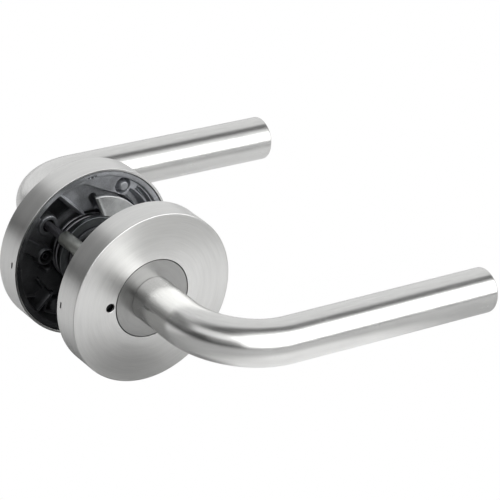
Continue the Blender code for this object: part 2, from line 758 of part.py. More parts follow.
def bolt_post(outer, place, degrees):
    """A flanged post held in the outer chassis, bored from its free end for the bolt."""
    head_top = HEAD_POCKET_FLOOR + AXIAL_GAP + HEAD_THICKNESS
    end = post_end()
    bore_end = end + BOLT_ENGAGEMENT + BOLT_RUNOUT
    outline = [
        (0.0, head_top),
        (POST_HEAD_RADIUS, head_top),
        (POST_HEAD_RADIUS, HEAD_POCKET_FLOOR + AXIAL_GAP),
        (POST_RADIUS, HEAD_POCKET_FLOOR + AXIAL_GAP),
        (POST_RADIUS, end),
        (POST_BORE, end),
        (POST_BORE, bore_end),
        (0.0, bore_end),
    ]
    post = turned("bolt_post_" + place, outline, "bright_zinc", COARSE, closed=False)
    return move_mesh(post, outer.place(BOLT_REACH, degrees))


def through_bolt(inner, place, degrees):
    """A flat head bolt from the inner chassis into the post of the other half."""
    head_low = HEAD_POCKET_FLOOR + AXIAL_GAP
    tip = -POST_TO_INNER_ROSE - BOLT_ENGAGEMENT
    outline = [
        (0.0, head_low + HEAD_THICKNESS),
        (BOLT_HEAD_RADIUS, head_low + HEAD_THICKNESS),
        (BOLT_HEAD_RADIUS, head_low),
        (BOLT_RADIUS, head_low),
        (BOLT_RADIUS, tip + BOLT_CHAMFER),
        (BOLT_RADIUS - BOLT_CHAMFER, tip),
        (0.0, tip),
    ]
    bolt = turned("through_bolt_" + place, outline, "cast_zinc", COARSE, closed=False)
    return move_mesh(bolt, inner.place(BOLT_REACH, degrees))


def privacy_button(inner):
    """A stepped pin: cap, collar trapped behind the cover, and a stem that stops inside its boss."""
    top = FACE + BUTTON_PROUD + BUTTON_TRAVEL
    groove_top = FRICTION_RING_MIDDLE + FRICTION_RING_RADIUS + GAP / 2
    groove_low = FRICTION_RING_MIDDLE - FRICTION_RING_RADIUS - GAP / 2
    core = BUTTON_STEM_RADIUS - 2 * FRICTION_RING_RADIUS
    outline = [
        (0.0, top),
        (BUTTON_RADIUS - BROKEN_EDGE, top),
        (BUTTON_RADIUS, top - BROKEN_EDGE),
        (BUTTON_RADIUS, COLLAR_TOP),
        (COLLAR_RADIUS, COLLAR_TOP),
        (COLLAR_RADIUS, COLLAR_BOTTOM),
        (BUTTON_STEM_RADIUS, COLLAR_BOTTOM),
        (BUTTON_STEM_RADIUS, groove_top),
        (core, groove_top),
        (core, groove_low),
        (BUTTON_STEM_RADIUS, groove_low),
        (BUTTON_STEM_RADIUS, STEM_END),
        (0.0, STEM_END),
    ]
    button = turned("privacy_button", outline, "satin_steel", COARSE, closed=False)
    button.location = inner.place(RELEASE_REACH, RELEASE_ANGLE)

    centre = core + GAP / 2 + FRICTION_RING_RADIUS
    circle = []
    for turn in np.linspace(0.0, 2 * math.pi, FRICTION_RING_SIDES, endpoint=False):
        reach = centre + FRICTION_RING_RADIUS * math.cos(turn)
        circle.append((reach, FRICTION_RING_MIDDLE - FRICTION_RING_RADIUS * math.sin(turn)))
    friction = turned("button_friction_ring", circle, "black_rubber", COARSE)
    friction.location = button.location
    return button, friction


PIECES = (
    rose_cover,
    chassis,
    bearing_bush,
    lever_flange,
    lever,
    lever_cap,
    retaining_ring,
    thrust_washer,
    drive_cam,
    return_spring,
    spring_keeper,
)


def build():
    """Make every piece about its own half's axis, then hang it on that half's empty."""
    outer = Half("outer", -1)
    inner = Half("inner", 1)
    for half in (outer, inner):
        half.hang(*(piece(half) for piece in PIECES))
        for number, degrees in enumerate(KEEPER_SCREW_ANGLES, start=1):
            half.hang(keeper_screw(half, number, degrees))
    outer.hang(spindle())
    for place, degrees in BOLT_ANGLES.items():
        outer.hang(bolt_post(outer, place, degrees))
        inner.hang(through_bolt(inner, place, degrees))
    inner.hang(*privacy_button(inner))


build()
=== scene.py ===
"""Looks of a door lever handle set: two satin steel levers on round roses over zinc castings.

World frame: the origin is on the spindle axis midway through the door, +Y runs from the outer half
to the inner half, +X along the levers and +Z up. All lengths are in metres.
"""

import math

import bpy
import numpy as np
from bpy.props import FloatProperty, FloatVectorProperty, IntProperty, PointerProperty
from bpy.types import Operator, Panel, PropertyGroup
from mathutils import Matrix, Vector


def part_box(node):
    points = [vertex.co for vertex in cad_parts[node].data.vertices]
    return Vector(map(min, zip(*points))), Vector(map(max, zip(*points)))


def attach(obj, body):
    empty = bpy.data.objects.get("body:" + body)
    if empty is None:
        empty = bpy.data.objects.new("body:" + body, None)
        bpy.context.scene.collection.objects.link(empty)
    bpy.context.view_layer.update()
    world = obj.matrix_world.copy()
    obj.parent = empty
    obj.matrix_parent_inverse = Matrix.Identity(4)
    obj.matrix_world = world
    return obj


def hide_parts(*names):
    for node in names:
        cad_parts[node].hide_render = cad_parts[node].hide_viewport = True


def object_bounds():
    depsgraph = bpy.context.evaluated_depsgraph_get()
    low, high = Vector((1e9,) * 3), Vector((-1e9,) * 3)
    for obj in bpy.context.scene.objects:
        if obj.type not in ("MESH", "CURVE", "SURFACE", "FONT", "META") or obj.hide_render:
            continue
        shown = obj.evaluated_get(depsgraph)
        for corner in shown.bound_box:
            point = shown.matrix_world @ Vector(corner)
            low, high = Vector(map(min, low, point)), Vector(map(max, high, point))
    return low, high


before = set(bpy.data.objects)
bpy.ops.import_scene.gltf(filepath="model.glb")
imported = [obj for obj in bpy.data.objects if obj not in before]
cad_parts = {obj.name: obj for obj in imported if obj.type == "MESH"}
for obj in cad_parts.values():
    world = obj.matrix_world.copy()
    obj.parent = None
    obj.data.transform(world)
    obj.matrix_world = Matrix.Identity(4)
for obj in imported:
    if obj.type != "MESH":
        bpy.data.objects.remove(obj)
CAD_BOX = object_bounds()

bl_info = {
    "name": "Door Lever Handle",
    "version": (1, 0, 0),
    "blender": (4, 5, 0),
    "location": "3D View > Sidebar > Door Lever",
    "description": "Builds the fine surfaces and finishes of a door lever handle set",
    "category": "Object",
}

MM = 0.001
UP = np.array((0.0, 0.0, 1.0))
THROUGH = np.array((0.0, 1.0, 0.0))

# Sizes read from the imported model
ROSE_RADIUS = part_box("outer_rose_cover")[1].z
DOOR_HALF = -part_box("outer_rose_cover")[1].y
ROSE_DEPTH = -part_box("outer_rose_cover")[0].y - DOOR_HALF
DISC_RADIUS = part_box("outer_lever_flange")[1].z
TUBE_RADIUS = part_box("outer_lever_cap")[1].z
LEVER_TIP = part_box("outer_lever_cap")[1].x
TUBE_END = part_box("outer_lever")[1].x
PROJECTION = -(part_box("outer_lever_cap")[0].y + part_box("outer_lever_cap")[1].y) / 2 - DOOR_HALF
JOURNAL_END = -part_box("outer_lever_flange")[1].y - DOOR_HALF
CHASSIS_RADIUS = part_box("outer_chassis")[1].z
CHASSIS_TOP = -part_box("outer_chassis")[0].y - DOOR_HALF
CHASSIS_LOW = -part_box("outer_chassis")[1].y - DOOR_HALF

# Sizes that several pieces share
GAP = 0.3 * MM
SHEET = 0.9 * MM
DISC_THICKNESS = 2.0 * MM
JOURNAL_RADIUS = 9.0 * MM
SPIGOT_RADIUS = TUBE_RADIUS - 1.8 * MM
SNAP_DEPTHS = (-1.8 * MM, -0.9 * MM)
SNAP_GROOVE = (SNAP_DEPTHS[0] - 2 * GAP, SNAP_DEPTHS[1] + GAP)
BUSH_RADIUS = 10.5 * MM
HUB_BORE = 10.8 * MM
HUB_RADIUS = 12.0 * MM
HUB_END = 2.1 * MM
COIL_RADIUS = 12.9 * MM
CAM_RADIUS = 14.3 * MM
KEEPER_BORE = 14.6 * MM
KEEPER_RADIUS = 22.6 * MM
KEEPER_DEPTHS = (-0.8 * MM, 0.4 * MM)
KEEPER_START = math.radians(-88.0)
SCREW_REACH = 19.0 * MM
SCREW_ANGLES = (25.0, -10.0)
SCREW_RADIUS = 1.25 * MM
BOLT_REACH = 19.0 * MM
BOLT_ANGLES = {"upper": 145.0, "lower": 325.0}
BOLT_RADIUS = 1.75 * MM
HEAD_HEIGHT = 1.3 * MM
BOLT_HEAD_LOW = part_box("through_bolt_upper")[1].y - DOOR_HALF - HEAD_HEIGHT
POST_RADIUS = 2.75 * MM
POST_BORE = 2.05 * MM
RELEASE_REACH = 17.6 * MM
RELEASE_RADIUS = 1.7 * MM
BUTTON_RADIUS = 1.5 * MM
COLLAR_RADIUS = (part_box("privacy_button")[1].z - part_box("privacy_button")[0].z) / 2
COLLAR_TOP = ROSE_DEPTH - SHEET - GAP
COLLAR_LOW = COLLAR_TOP - 0.8 * MM
HUB_TOP = ROSE_DEPTH - DISC_THICKNESS - GAP
BUTTON_TRAVEL = 2.0 * MM
PEG_REACH = 26.8 * MM
PEG_ANGLE = 64.0
PEG_RADIUS = 1.85 * MM
CLIP_ANGLE = 179.0
TAB_ANGLE = 255.0
FINGER_WIDTH = 3.6 * MM
WIRE_RADIUS = 0.6 * MM


# ---------------------------------------------------------------- settings


def colour(name, description, default):
    return FloatVectorProperty(
        name=name, description=description, default=default, subtype="COLOR", size=3, min=0.0, max=1.0
    )


def length(name, description, default, low, high):
    return FloatProperty(
        name=name, description=description, default=default, min=low, max=high, unit="LENGTH"
    )


def angle(name, description, degrees):
    return FloatProperty(
        name=name, description=description, default=math.radians(degrees), subtype="ANGLE"
    )


class SteelSettings(PropertyGroup):
    colour: colour(
        "Steel colour", "Reflected colour of the satin stainless steel", (0.63, 0.63, 0.622)
    )
    roughness: FloatProperty(
        name="Roughness", description="Roughness of the satin finish", default=0.25, min=0.05, max=0.8
    )
    lay: FloatProperty(
        name="Lay strength",
        description="How much further light spreads across the brush marks than along them",
        default=0.2,
        min=0.0,
        max=1.0,
    )
    spacing: length(
        "Brush spacing", "Distance between neighbouring brush marks", 0.00016, 0.00005, 0.002
    )


class RoseSettings(PropertyGroup):
    edge: length("Edge radius", "Rounding where the rose face meets its rim", 0.00045, 0.0001, 0.002)
    seam: length("Disc gap", "Gap between the rose cover and the lever disc", 0.0003, 0.0001, 0.001)


class LeverSettings(PropertyGroup):
    bend: length("Bend radius", "Radius of the tube's centre line in its bend", 0.0267, 0.02, 0.04)
    tip: length("Tip radius", "Rounding round the closed end of the tube", 0.0009, 0.0002, 0.003)
    sides: IntProperty(
        name="Sides", description="Points round the tube", default=128, min=32, max=256
    )


class CastingSettings(PropertyGroup):
    colour: colour("Casting colour", "Reflected colour of the die cast zinc", (0.40, 0.41, 0.43))
    draft: FloatProperty(
        name="Wall slope",
        description="How many times deeper than wide a casting wall is",
        default=7.0,
        min=2.0,
        max=20.0,
    )
    fillet: length("Fillet", "Rounding where casting walls meet the floor", 0.0005, 0.0001, 0.002)


class StageSettings(PropertyGroup):
    azimuth: angle("Azimuth", "Camera direction round the set", -37.93)
    elevation: angle("Elevation", "Camera height above level", 26.673)
    roll: angle("Roll", "Camera turn about its own axis", 6.095)
    distance: length("Distance", "From the camera to what it aims at", 1.0798, 0.2, 10.0)
    lens: FloatProperty(
        name="Lens", description="Focal length in millimetres on a 36 mm sensor", default=210.9
    )
    key: FloatProperty(
        name="Key light",
        description="Power of the large soft panel in front of the set",
        default=2.8,
        unit="POWER",
    )
    side: FloatProperty(
        name="Side light",
        description="Power of the soft panel on the left",
        default=0.45,
        unit="POWER",
    )


# ---------------------------------------------------------------- shapes


class Side:
    """One half of the set. A depth is measured from the door face outwards."""

    def __init__(self, name, sign, train, fastener):
        self.name = name
        self.sign = sign
        self.train = train
        low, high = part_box(fastener)
        self.bolt_head = (high.x - low.x) / 2

    def y(self, depth):
        return self.sign * (DOOR_HALF + np.asarray(depth))


OUTER = Side("outer", -1, "outer_lever_train", "bolt_post_upper")
INNER = Side("inner", 1, "inner_lever_train", "through_bolt_upper")
SIDES = (OUTER, INNER)


def polar(reach, degrees):
    """The x and z of a point at a reach from the spindle axis and a clock angle in degrees."""
    turn = math.radians(degrees)
    return reach * math.cos(turn), reach * math.sin(turn)


def outline(corners, closed=True, steps=5, hold=0.05 * MM):
    """Rounds the corners (x, y, radius) of an outline. Each corner C becomes the curve
    (1-u)^2 A + 2u(1-u) C + u^2 B between the points A and B that lie the radius away along its two
    sides, with one more point just outside each end that keeps the flats flat."""
    points = []
    last = len(corners) - 1
    for i, (x, y, radius) in enumerate(corners):
        here = np.array((x, y))
        before = np.array(corners[i - 1][:2]) - here
        after = np.array(corners[(i + 1) % len(corners)][:2]) - here
        reach = min(radius, 0.45 * np.hypot(*before), 0.45 * np.hypot(*after))
        if reach <= 0.0 or (not closed and i in (0, last)):
            points.append(here)
            continue
        toward_a = before / np.hypot(*before)
        toward_b = after / np.hypot(*after)
        u = np.linspace(0.0, 1.0, steps)[:, None]
        start = here + toward_a * reach
        end = here + toward_b * reach
        curve = (1 - u) ** 2 * start + 2 * u * (1 - u) * here + u**2 * end
        points.append(start + toward_a * min(hold, reach / 10))
        points.extend(curve)
        points.append(end + toward_b * min(hold, reach / 10))
    return np.array(points)


def rounded_box(across, along, soft, steps=4):
    """A rectangle over two ranges with all its corners rounded."""
    corners = [(x, y, soft) for x, y in zip(across + across[::-1], np.repeat(along, 2))]
    return outline(corners, steps=steps)


def once_round(steps):
    """Equal turns once round, as a row."""
    return np.linspace(0.0, 2 * math.pi, steps, endpoint=False)[None, :]


def placed(side, radius, turn, depth, centre=(0.0, 0.0)):
    """The points (cx + r cos t, depth d, cz + r sin t) about an axis through the door."""
    radius, turn, depth = np.broadcast_arrays(radius, turn, depth)
    x = centre[0] + radius * np.cos(turn)
    z = centre[1] + radius * np.sin(turn)
    return np.stack([x, side.y(depth), z], axis=-1)


def turned(side, profile, steps=192, centre=(0.0, 0.0)):
    """Surface of revolution: the point (r, d) of the profile goes once round at the depth d."""
    return placed(side, profile[:, :1], once_round(steps), profile[:, 1:2], centre)


def swept(path, radius, up, sides):
    """A round section carried along a path: P + r (cos t N + sin t B), where N is the part of `up`
    square to the path's direction T, and B is T x N."""
    direction = np.gradient(path, axis=0)
    direction /= np.linalg.norm(direction, axis=1, keepdims=True)
    normal = up - (direction @ up)[:, None] * direction
    normal /= np.linalg.norm(normal, axis=1, keepdims=True)
    other = np.cross(direction, normal)
    t = once_round(sides)[:, :, None]
    size = np.broadcast_to(radius, len(path)).reshape(-1, 1, 1)
    return path[:, None] + size * (np.cos(t) * normal[:, None] + np.sin(t) * other[:, None])


def face_uv(*corners):
    """UV of the faces from the run and turn of each corner."""
    return np.stack([np.stack(np.broadcast_arrays(*corner), -1) for corner in corners], axis=-2)


def linked(name, data):
    """A new object in the scene."""
    item = bpy.data.objects.new(name, data)
    bpy.context.scene.collection.objects.link(item)
    return item


def shell(name, points, closed=True, sharp=38.0, attributes=None):
    """A mesh from a grid of points whose columns wrap round. Its rows wrap round too, or else each
    end is closed by a fan about its middle. The UV map `lay` holds the distance along the rows and
    the share of a turn along the columns, and the distance is measured on the longest column."""
    rows, columns = points.shape[:2]
    steps = np.linalg.norm(np.diff(points, axis=0), axis=2).max(axis=1)
    run = np.concatenate([[0.0], np.cumsum(steps)])
    i, j = np.meshgrid(np.arange(rows if closed else rows - 1), np.arange(columns), indexing="ij")
    i_next = (i + 1) % rows
    j_next = (j + 1) % columns
    quads = np.stack(
        [i * columns + j, i * columns + j_next, i_next * columns + j_next, i_next * columns + j], -1
    ).reshape(-1, 4)
    run_next = np.append(run, run[-1])[i + 1]
    turn = j / columns
    turn_next = (j + 1) / columns
    uv = face_uv((run[i], turn), (run[i], turn_next), (run_next, turn_next), (run_next, turn))
    uv = uv.reshape(-1, 4, 2)
    vertices = points.reshape(-1, 3)
    fans = np.zeros((0, 3), int)
    fan_uv = np.zeros((0, 3, 2))
    if not closed:
        middle = rows * columns
        k = np.arange(columns)
        k_next = (k + 1) % columns
        last = (rows - 1) * columns
        low = np.stack([np.full(columns, middle), k_next, k], 1)
        high = np.stack([np.full(columns, middle + 1), last + k, last + k_next], 1)
        fans = np.concatenate([low, high])
        ends = np.stack([points[0].mean(0), points[-1].mean(0)])
        spans = [np.linalg.norm(points[0, 0] - ends[0]), np.linalg.norm(points[-1, 0] - ends[1])]
        share = k / columns
        share_next = (k + 1) / columns
        at_low = face_uv((run[0] - spans[0], share), (run[0], share_next), (run[0], share))
        at_high = face_uv((run[-1] + spans[1], share), (run[-1], share), (run[-1], share_next))
        fan_uv = np.concatenate([at_low, at_high])
        vertices = np.concatenate([vertices, ends])
    corners = vertices[quads]
    volume = np.einsum("ij,ij->", corners[:, 0], np.cross(corners[:, 1], corners[:, 2]))
    volume += np.einsum("ij,ij->", corners[:, 0], np.cross(corners[:, 2], corners[:, 3]))
    fan = vertices[fans]
    volume += np.einsum("ij,ij->", fan[:, 0], np.cross(fan[:, 1], fan[:, 2]))
    if volume < 0:
        quads, uv = quads[:, ::-1], uv[:, ::-1]
        fans, fan_uv = fans[:, ::-1], fan_uv[:, ::-1]
    mesh = bpy.data.meshes.new(name)
    mesh.from_pydata(vertices.tolist(), [], quads.tolist() + fans.tolist())
    layer = mesh.uv_layers.new(name="lay")
    flat_uv = np.concatenate([uv.reshape(-1), fan_uv.reshape(-1)]).astype(np.float32)
    layer.data.foreach_set("uv", flat_uv)
    for key, values in (attributes or {}).items():
        padded = np.concatenate([values.ravel(), np.zeros(len(vertices) - values.size)])
        mesh.attributes.new(key, "FLOAT", "POINT").data.foreach_set("value", padded.astype(np.float32))
    mesh.shade_smooth()
    mesh.set_sharp_from_angle(angle=math.radians(sharp))
    return linked(name, mesh)


def cut(item, cutters):
    """Take the cutters out of a piece and keep the result as its mesh."""
    tools = bpy.data.collections.new("cutters")
    for cutter in cutters:
        bpy.context.scene.collection.objects.unlink(cutter)
        tools.objects.link(cutter)
    bpy.context.scene.collection.children.link(tools)
    step = item.modifiers.new("cut", "BOOLEAN")
    step.operation = "DIFFERENCE"
    step.solver = "EXACT"
    step.operand_type = "COLLECTION"
    step.collection = tools
    bpy.context.view_layer.update()
    graph = bpy.context.evaluated_depsgraph_get()
    result = bpy.data.meshes.new_from_object(item.evaluated_get(graph))
    item.modifiers.clear()
    item.data = result
    result.shade_smooth()
    result.set_sharp_from_angle(angle=math.radians(25.0))
    for cutter in cutters:
        bpy.data.objects.remove(cutter, do_unlink=True)
    bpy.data.collections.remove(tools)


def joined(items):
    """Join objects into the first of them."""
    with bpy.context.temp_override(
        active_object=items[0], selected_editable_objects=items, selected_objects=items
    ):
        bpy.ops.object.join()
    return items[0]


def block(name, side, x_range, z_range, depths, degrees=0.0, soft=0.1 * MM):
    """A box with softened long edges, turned about the spindle axis: a rounded rectangle in x and z
    carried along the depth."""
    section = rounded_box(x_range, z_range, soft)
    turn = math.radians(degrees)
    x = section[:, 0] * math.cos(turn) - section[:, 1] * math.sin(turn)
    z = section[:, 0] * math.sin(turn) + section[:, 1] * math.cos(turn)
    depth = np.asarray(depths)[:, None] + np.zeros_like(x)
    points = np.stack([x + 0 * depth, side.y(depth), z + 0 * depth], axis=-1)
    return shell(name, points, closed=False)


def show(item, material, body, slot, *nodes):
    """Give a finished piece its material and body, and hide the nodes that it stands for. The slot is not
    used.
    """
    item.data.materials.clear()
    item.data.materials.append(material)
    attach(item, body)
    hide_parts(*nodes)


# ---------------------------------------------------------------- materials


class Tree:
    """Adds nodes to a node tree from values or from other nodes' sockets."""

    def __init__(self, tree):
        self.tree = tree

    def node(self, kind, settings=None, **inputs):
        made = self.tree.nodes.new(kind)
        for key, value in (settings or {}).items():
            setattr(made, key, value)
        for key, value in inputs.items():
            self.feed(made.inputs[key.replace("_", " ")], value)
        return made

    def feed(self, socket, value):
        if isinstance(value, bpy.types.NodeSocket):
            self.tree.links.new(value, socket)
        else:
            socket.default_value = value

    def group(self, group, **inputs):
        return self.node("ShaderNodeGroup", {"node_tree": group}, **inputs).outputs

    def coordinates(self):
        return self.node("ShaderNodeTexCoord").outputs["Object"]

    def math(self, operation, first, second=0.0):
        made = self.tree.nodes.new("ShaderNodeMath")
        made.operation = operation
        self.feed(made.inputs[0], first)
        self.feed(made.inputs[1], second)
        return made.outputs[0]

    def weigh(self, first, share, second, other_share):
        """The sum of two values, each times its share."""
        first = self.math("MULTIPLY", first, share)
        return self.math("ADD", first, self.math("MULTIPLY", second, other_share))

    def ramp(self, value, low, high, to_low=0.0, to_high=1.0):
        """Smooth step from to_low to to_high as the value goes from low to high."""
        made = self.tree.nodes.new("ShaderNodeMapRange")
        made.interpolation_type = "SMOOTHSTEP"
        self.feed(made.inputs[0], value)
        for socket, number in zip(made.inputs[1:5], (low, high, to_low, to_high)):
            self.feed(socket, number)
        return made.outputs[0]

    def blend(self, share, first, second):
        made = self.tree.nodes.new("ShaderNodeMix")
        made.data_type = "RGBA"
        self.feed(made.inputs[0], share)
        self.feed(made.inputs[6], first)
        self.feed(made.inputs[7], second)
        return made.outputs[2]


def new_group(name, inputs, outputs):
    """An empty shader group with float or vector sockets, given as name: default."""
    group = bpy.data.node_groups.new(name, "ShaderNodeTree")
    for key, value in inputs.items():
        kind = "NodeSocketVector" if isinstance(value, tuple) else "NodeSocketFloat"
        group.interface.new_socket(key, in_out="INPUT", socket_type=kind).default_value = value
    for key in outputs:
        group.interface.new_socket(key, in_out="OUTPUT", socket_type="NodeSocketFloat")
    tree = Tree(group)
    return group, tree, tree.node("NodeGroupInput").outputs, tree.node("NodeGroupOutput").inputs


def brush_marks():
    """Long fine marks: noise that changes every `Spacing` across them and slowly along them, with a
    wider noise over it for the uneven pressure of the belt."""
    found = bpy.data.node_groups.get("brush marks")
    if found:
        return found
    group, tree, given, out = new_group("brush marks", {"Place": (0.0, 0.0, 0.0)}, ("Marks", "Bands"))
    marks = tree.node("ShaderNodeTexNoise", Vector=given["Place"], Scale=1.0, Detail=3.0, Roughness=0.65)
    wide = tree.node("ShaderNodeVectorMath", {"operation": "MULTIPLY"})
    tree.feed(wide.inputs[0], given["Place"])
    wide.inputs[1].default_value = (0.11, 0.4, 0.4)
    bands = tree.node("ShaderNodeTexNoise", Vector=wide.outputs[0], Scale=1.0, Detail=2.0, Roughness=0.5)
    tree.feed(out["Marks"], marks.outputs[0])
    tree.feed(out["Bands"], bands.outputs[0])
    return group


def metal_grain():
    """Fine pits and soft patches at their real size, from Object coordinates."""
    found = bpy.data.node_groups.get("metal grain")
    if found:
        return found
    group, tree, given, out = new_group(
        "metal grain", {"Place": (0.0, 0.0, 0.0), "Size": 0.0003}, ("Pits", "Patches")
    )
    scale = tree.math("DIVIDE", 1.0, given["Size"])
    pits = tree.node("ShaderNodeTexNoise", Vector=given["Place"], Detail=4.0, Roughness=0.6)
    tree.feed(pits.inputs["Scale"], scale)
    patches = tree.node("ShaderNodeTexNoise", Vector=given["Place"], Detail=3.0, Roughness=0.55)
    tree.feed(patches.inputs["Scale"], tree.math("MULTIPLY", scale, 0.06))
    tree.feed(out["Pits"], pits.outputs[0])
    tree.feed(out["Patches"], patches.outputs[0])
    return group


def new_material(name, metallic, roughness):
    """A material with its own Principled shader, and a Tree to add its nodes."""
    material = bpy.data.materials.new(name)
    material.use_nodes = True
    shader = material.node_tree.nodes["Principled BSDF"]
    shader.inputs["Metallic"].default_value = metallic
    shader.inputs["Roughness"].default_value = roughness
    return material, Tree(material.node_tree), shader.inputs


def shade(colour, factor):
    return tuple(min(1.0, c * factor) for c in colour) + (1.0,)


def marks_round(tree, spacing):
    """Where a mark lies on a piece turned about the spindle axis: (radius + height) / spacing
    across the marks, and three times the point's direction round them."""
    x, y, z = tree.node("ShaderNodeSeparateXYZ", Vector=tree.coordinates()).outputs[:3]
    flat = tree.node("ShaderNodeCombineXYZ", X=x, Z=z).outputs[0]
    reach = tree.node("ShaderNodeVectorMath", {"operation": "LENGTH"})
    tree.feed(reach.inputs[0], flat)
    across = tree.math("ADD", reach.outputs["Value"], tree.math("ABSOLUTE", y))
    across = tree.math("DIVIDE", across, spacing)
    way = tree.node("ShaderNodeVectorMath", {"operation": "NORMALIZE"})
    tree.feed(way.inputs[0], flat)
    wx, _, wz = tree.node("ShaderNodeSeparateXYZ", Vector=way.outputs[0]).outputs[:3]
    y_way = tree.math("MULTIPLY", wx, 3.0)
    z_way = tree.math("MULTIPLY", wz, 3.0)
    mark = tree.node("ShaderNodeCombineXYZ", X=across, Y=y_way, Z=z_way)
    along = tree.node("ShaderNodeCombineXYZ", X=wz, Z=tree.math("MULTIPLY", wx, -1.0))
    to_world = {"vector_type": "VECTOR", "convert_from": "OBJECT", "convert_to": "WORLD"}
    lay = tree.node("ShaderNodeVectorTransform", to_world, Vector=along.outputs[0])
    return mark.outputs[0], lay.outputs[0]


def marks_along(tree, spacing):
    """Where a mark lies on a tube: round the tube at its real size over the spacing, and slowly
    along it."""
    lay = tree.node("ShaderNodeUVMap", {"uv_map": "lay"})
    run, turn, _ = tree.node("ShaderNodeSeparateXYZ", Vector=lay.outputs[0]).outputs[:3]
    angle = tree.math("MULTIPLY", turn, 2 * math.pi)
    size = TUBE_RADIUS / spacing
    x = tree.math("MULTIPLY", tree.math("COSINE", angle), size)
    y = tree.math("MULTIPLY", tree.math("SINE", angle), size)
    z = tree.math("DIVIDE", run, 5.0 * MM)
    return tree.node("ShaderNodeCombineXYZ", X=x, Y=y, Z=z).outputs[0]


def satin_steel(name, tone=1.0, tube=False):
    """Brushed stainless steel, with marks round the spindle axis or along a tube. A tone under one
    darkens the whole colour: painted shade.
    """
    found = bpy.data.materials.get(name)
    if found:
        return found
    steel = bpy.context.scene.lever_steel
    rough = steel.roughness if tube else steel.roughness + 0.05
    material, tree, shader = new_material(name, 1.0, rough)
    if tube:
        place = marks_along(tree, 2 * steel.spacing)
    else:
        place, lay = marks_round(tree, steel.spacing)
        tree.feed(shader["Tangent"], lay)
        shader["Anisotropic"].default_value = steel.lay
    marks = tree.group(brush_marks(), Place=place)
    grain = tree.group(metal_grain(), Place=tree.coordinates(), Size=0.5 * MM)
    mixed = tree.weigh(marks["Marks"], 0.6, marks["Bands"], 0.4)
    dull = shade(steel.colour, 0.93 * tone)
    clear = shade(steel.colour, 1.055 * tone)
    tree.feed(shader["Base Color"], tree.blend(tree.ramp(mixed, 0.30, 0.70), dull, clear))
    mixed = tree.weigh(mixed, 1.0, grain["Patches"], 0.5)
    tree.feed(shader["Roughness"], tree.ramp(mixed, 0.45, 1.05, rough - 0.025, rough + 0.03))
    bump = tree.node("ShaderNodeBump", Distance=0.007 * MM, Height=marks["Marks"])
    bump.inputs["Strength"].default_value = 0.6 if tube else 0.35
    tree.feed(shader["Normal"], bump.outputs[0])
    return material


def turned_steel():
    return satin_steel("satin_steel_turned")


def shaded_disc_steel():
    # Painted shade: the same steel at half its colour, so the flush disc reads darker than the rose round
    # it.
    return satin_steel("satin_steel_disc", tone=0.50)


def tube_steel():
    return satin_steel("satin_steel_tube", tube=True)


def grained(name, colour, roughness, size, depth, metallic=1.0, spread=0.12, wear_and_highlight=0.0):
    """A metal or plastic with fine pits and soft patches. Where the piece has the edge attribute, its
    raised edges are rubbed lighter, with a painted highlight where the casting is lit, and the
    piece's painted light and shade attribute darkens its colour towards black."""
    found = bpy.data.materials.get(name)
    if found:
        return found
    material, tree, shader = new_material(name, metallic, roughness)
    grain = tree.group(metal_grain(), Place=tree.coordinates(), Size=size)
    mixed = tree.weigh(grain["Patches"], 0.7, grain["Pits"], 0.3)
    share = tree.ramp(mixed, 0.35, 0.65)
    tone = tree.blend(share, shade(colour, 1.0 - spread), shade(colour, 1.0 + spread))
    rough = tree.ramp(grain["Patches"], 0.3, 0.7, roughness - 0.06, roughness + 0.06)
    if wear_and_highlight > 0.0:
        # Painted shade: the painted light and shade attribute darkens the colour towards black.
        skin = tree.node("ShaderNodeAttribute", {"attribute_name": "skin"}).outputs["Fac"]
        skin = tree.math("MULTIPLY", skin, 2.0)
        tone = tree.blend(skin, (0.0, 0.0, 0.0, 1.0), tone)
        # Raised edges rubbed lighter, with a painted highlight on the lit top of the casting.
        edge = tree.node("ShaderNodeAttribute", {"attribute_name": "wear_and_highlight"}).outputs["Fac"]
        rubbed_and_highlit = tree.math("MULTIPLY", tree.ramp(edge, 0.1, 0.8), wear_and_highlight)
        tone = tree.blend(rubbed_and_highlit, tone, shade(colour, 1.25))
        rough = tree.math("SUBTRACT", rough, tree.math("MULTIPLY", rubbed_and_highlit, 0.12))
    tree.feed(shader["Base Color"], tone)
    tree.feed(shader["Roughness"], rough)
    bump = tree.node("ShaderNodeBump", Strength=0.6, Distance=depth, Height=grain["Pits"])
    tree.feed(shader["Normal"], bump.outputs[0])
    return material


def cast_zinc():
    casting = bpy.context.scene.lever_casting
    return grained("cast_zinc_fine", casting.colour, 0.50, 0.5 * MM, 0.06 * MM, spread=0.28, wear_and_highlight=0.35)


def zinc_plate():
    return grained("zinc_plate_fine", (0.60, 0.61, 0.61), 0.48, 0.35 * MM, 0.03 * MM, spread=0.2)


def bright_zinc():
    return grained("bright_zinc_fine", (0.40, 0.41, 0.385), 0.42, 0.2 * MM, 0.006 * MM)


def spring_steel():
    return grained("spring_steel_fine", (0.18, 0.18, 0.19), 0.34, 0.15 * MM, 0.004 * MM)


def dark_bolt():
    return grained("dark_bolt_fine", (0.055, 0.055, 0.06), 0.42, 0.2 * MM, 0.008 * MM)


def shaded_cam_zinc():
    # Painted shade: the drive cam, a bright zinc part, is coloured dark for the shade deep inside the
    # rose.
    return grained("shaded_cam_zinc_fine", (0.17, 0.18, 0.185), 0.36, 0.2 * MM, 0.008 * MM)


def acetal():
    return grained("acetal_fine", (0.78, 0.77, 0.72), 0.45, 0.25 * MM, 0.008 * MM, 0.0, 0.04)


def black_rubber():
    return grained("black_rubber_fine", (0.03, 0.03, 0.03), 0.75, 0.12 * MM, 0.01 * MM, 0.0, 0.25)


# ---------------------------------------------------------------- casting relief


def smooth(value, low, high):
    """Smooth step 3s^2 - 2s^3 of the value between low and high."""
    share = np.clip((value - low) / (high - low), 0.0, 1.0)
    return share**2 * (3.0 - 2.0 * share)


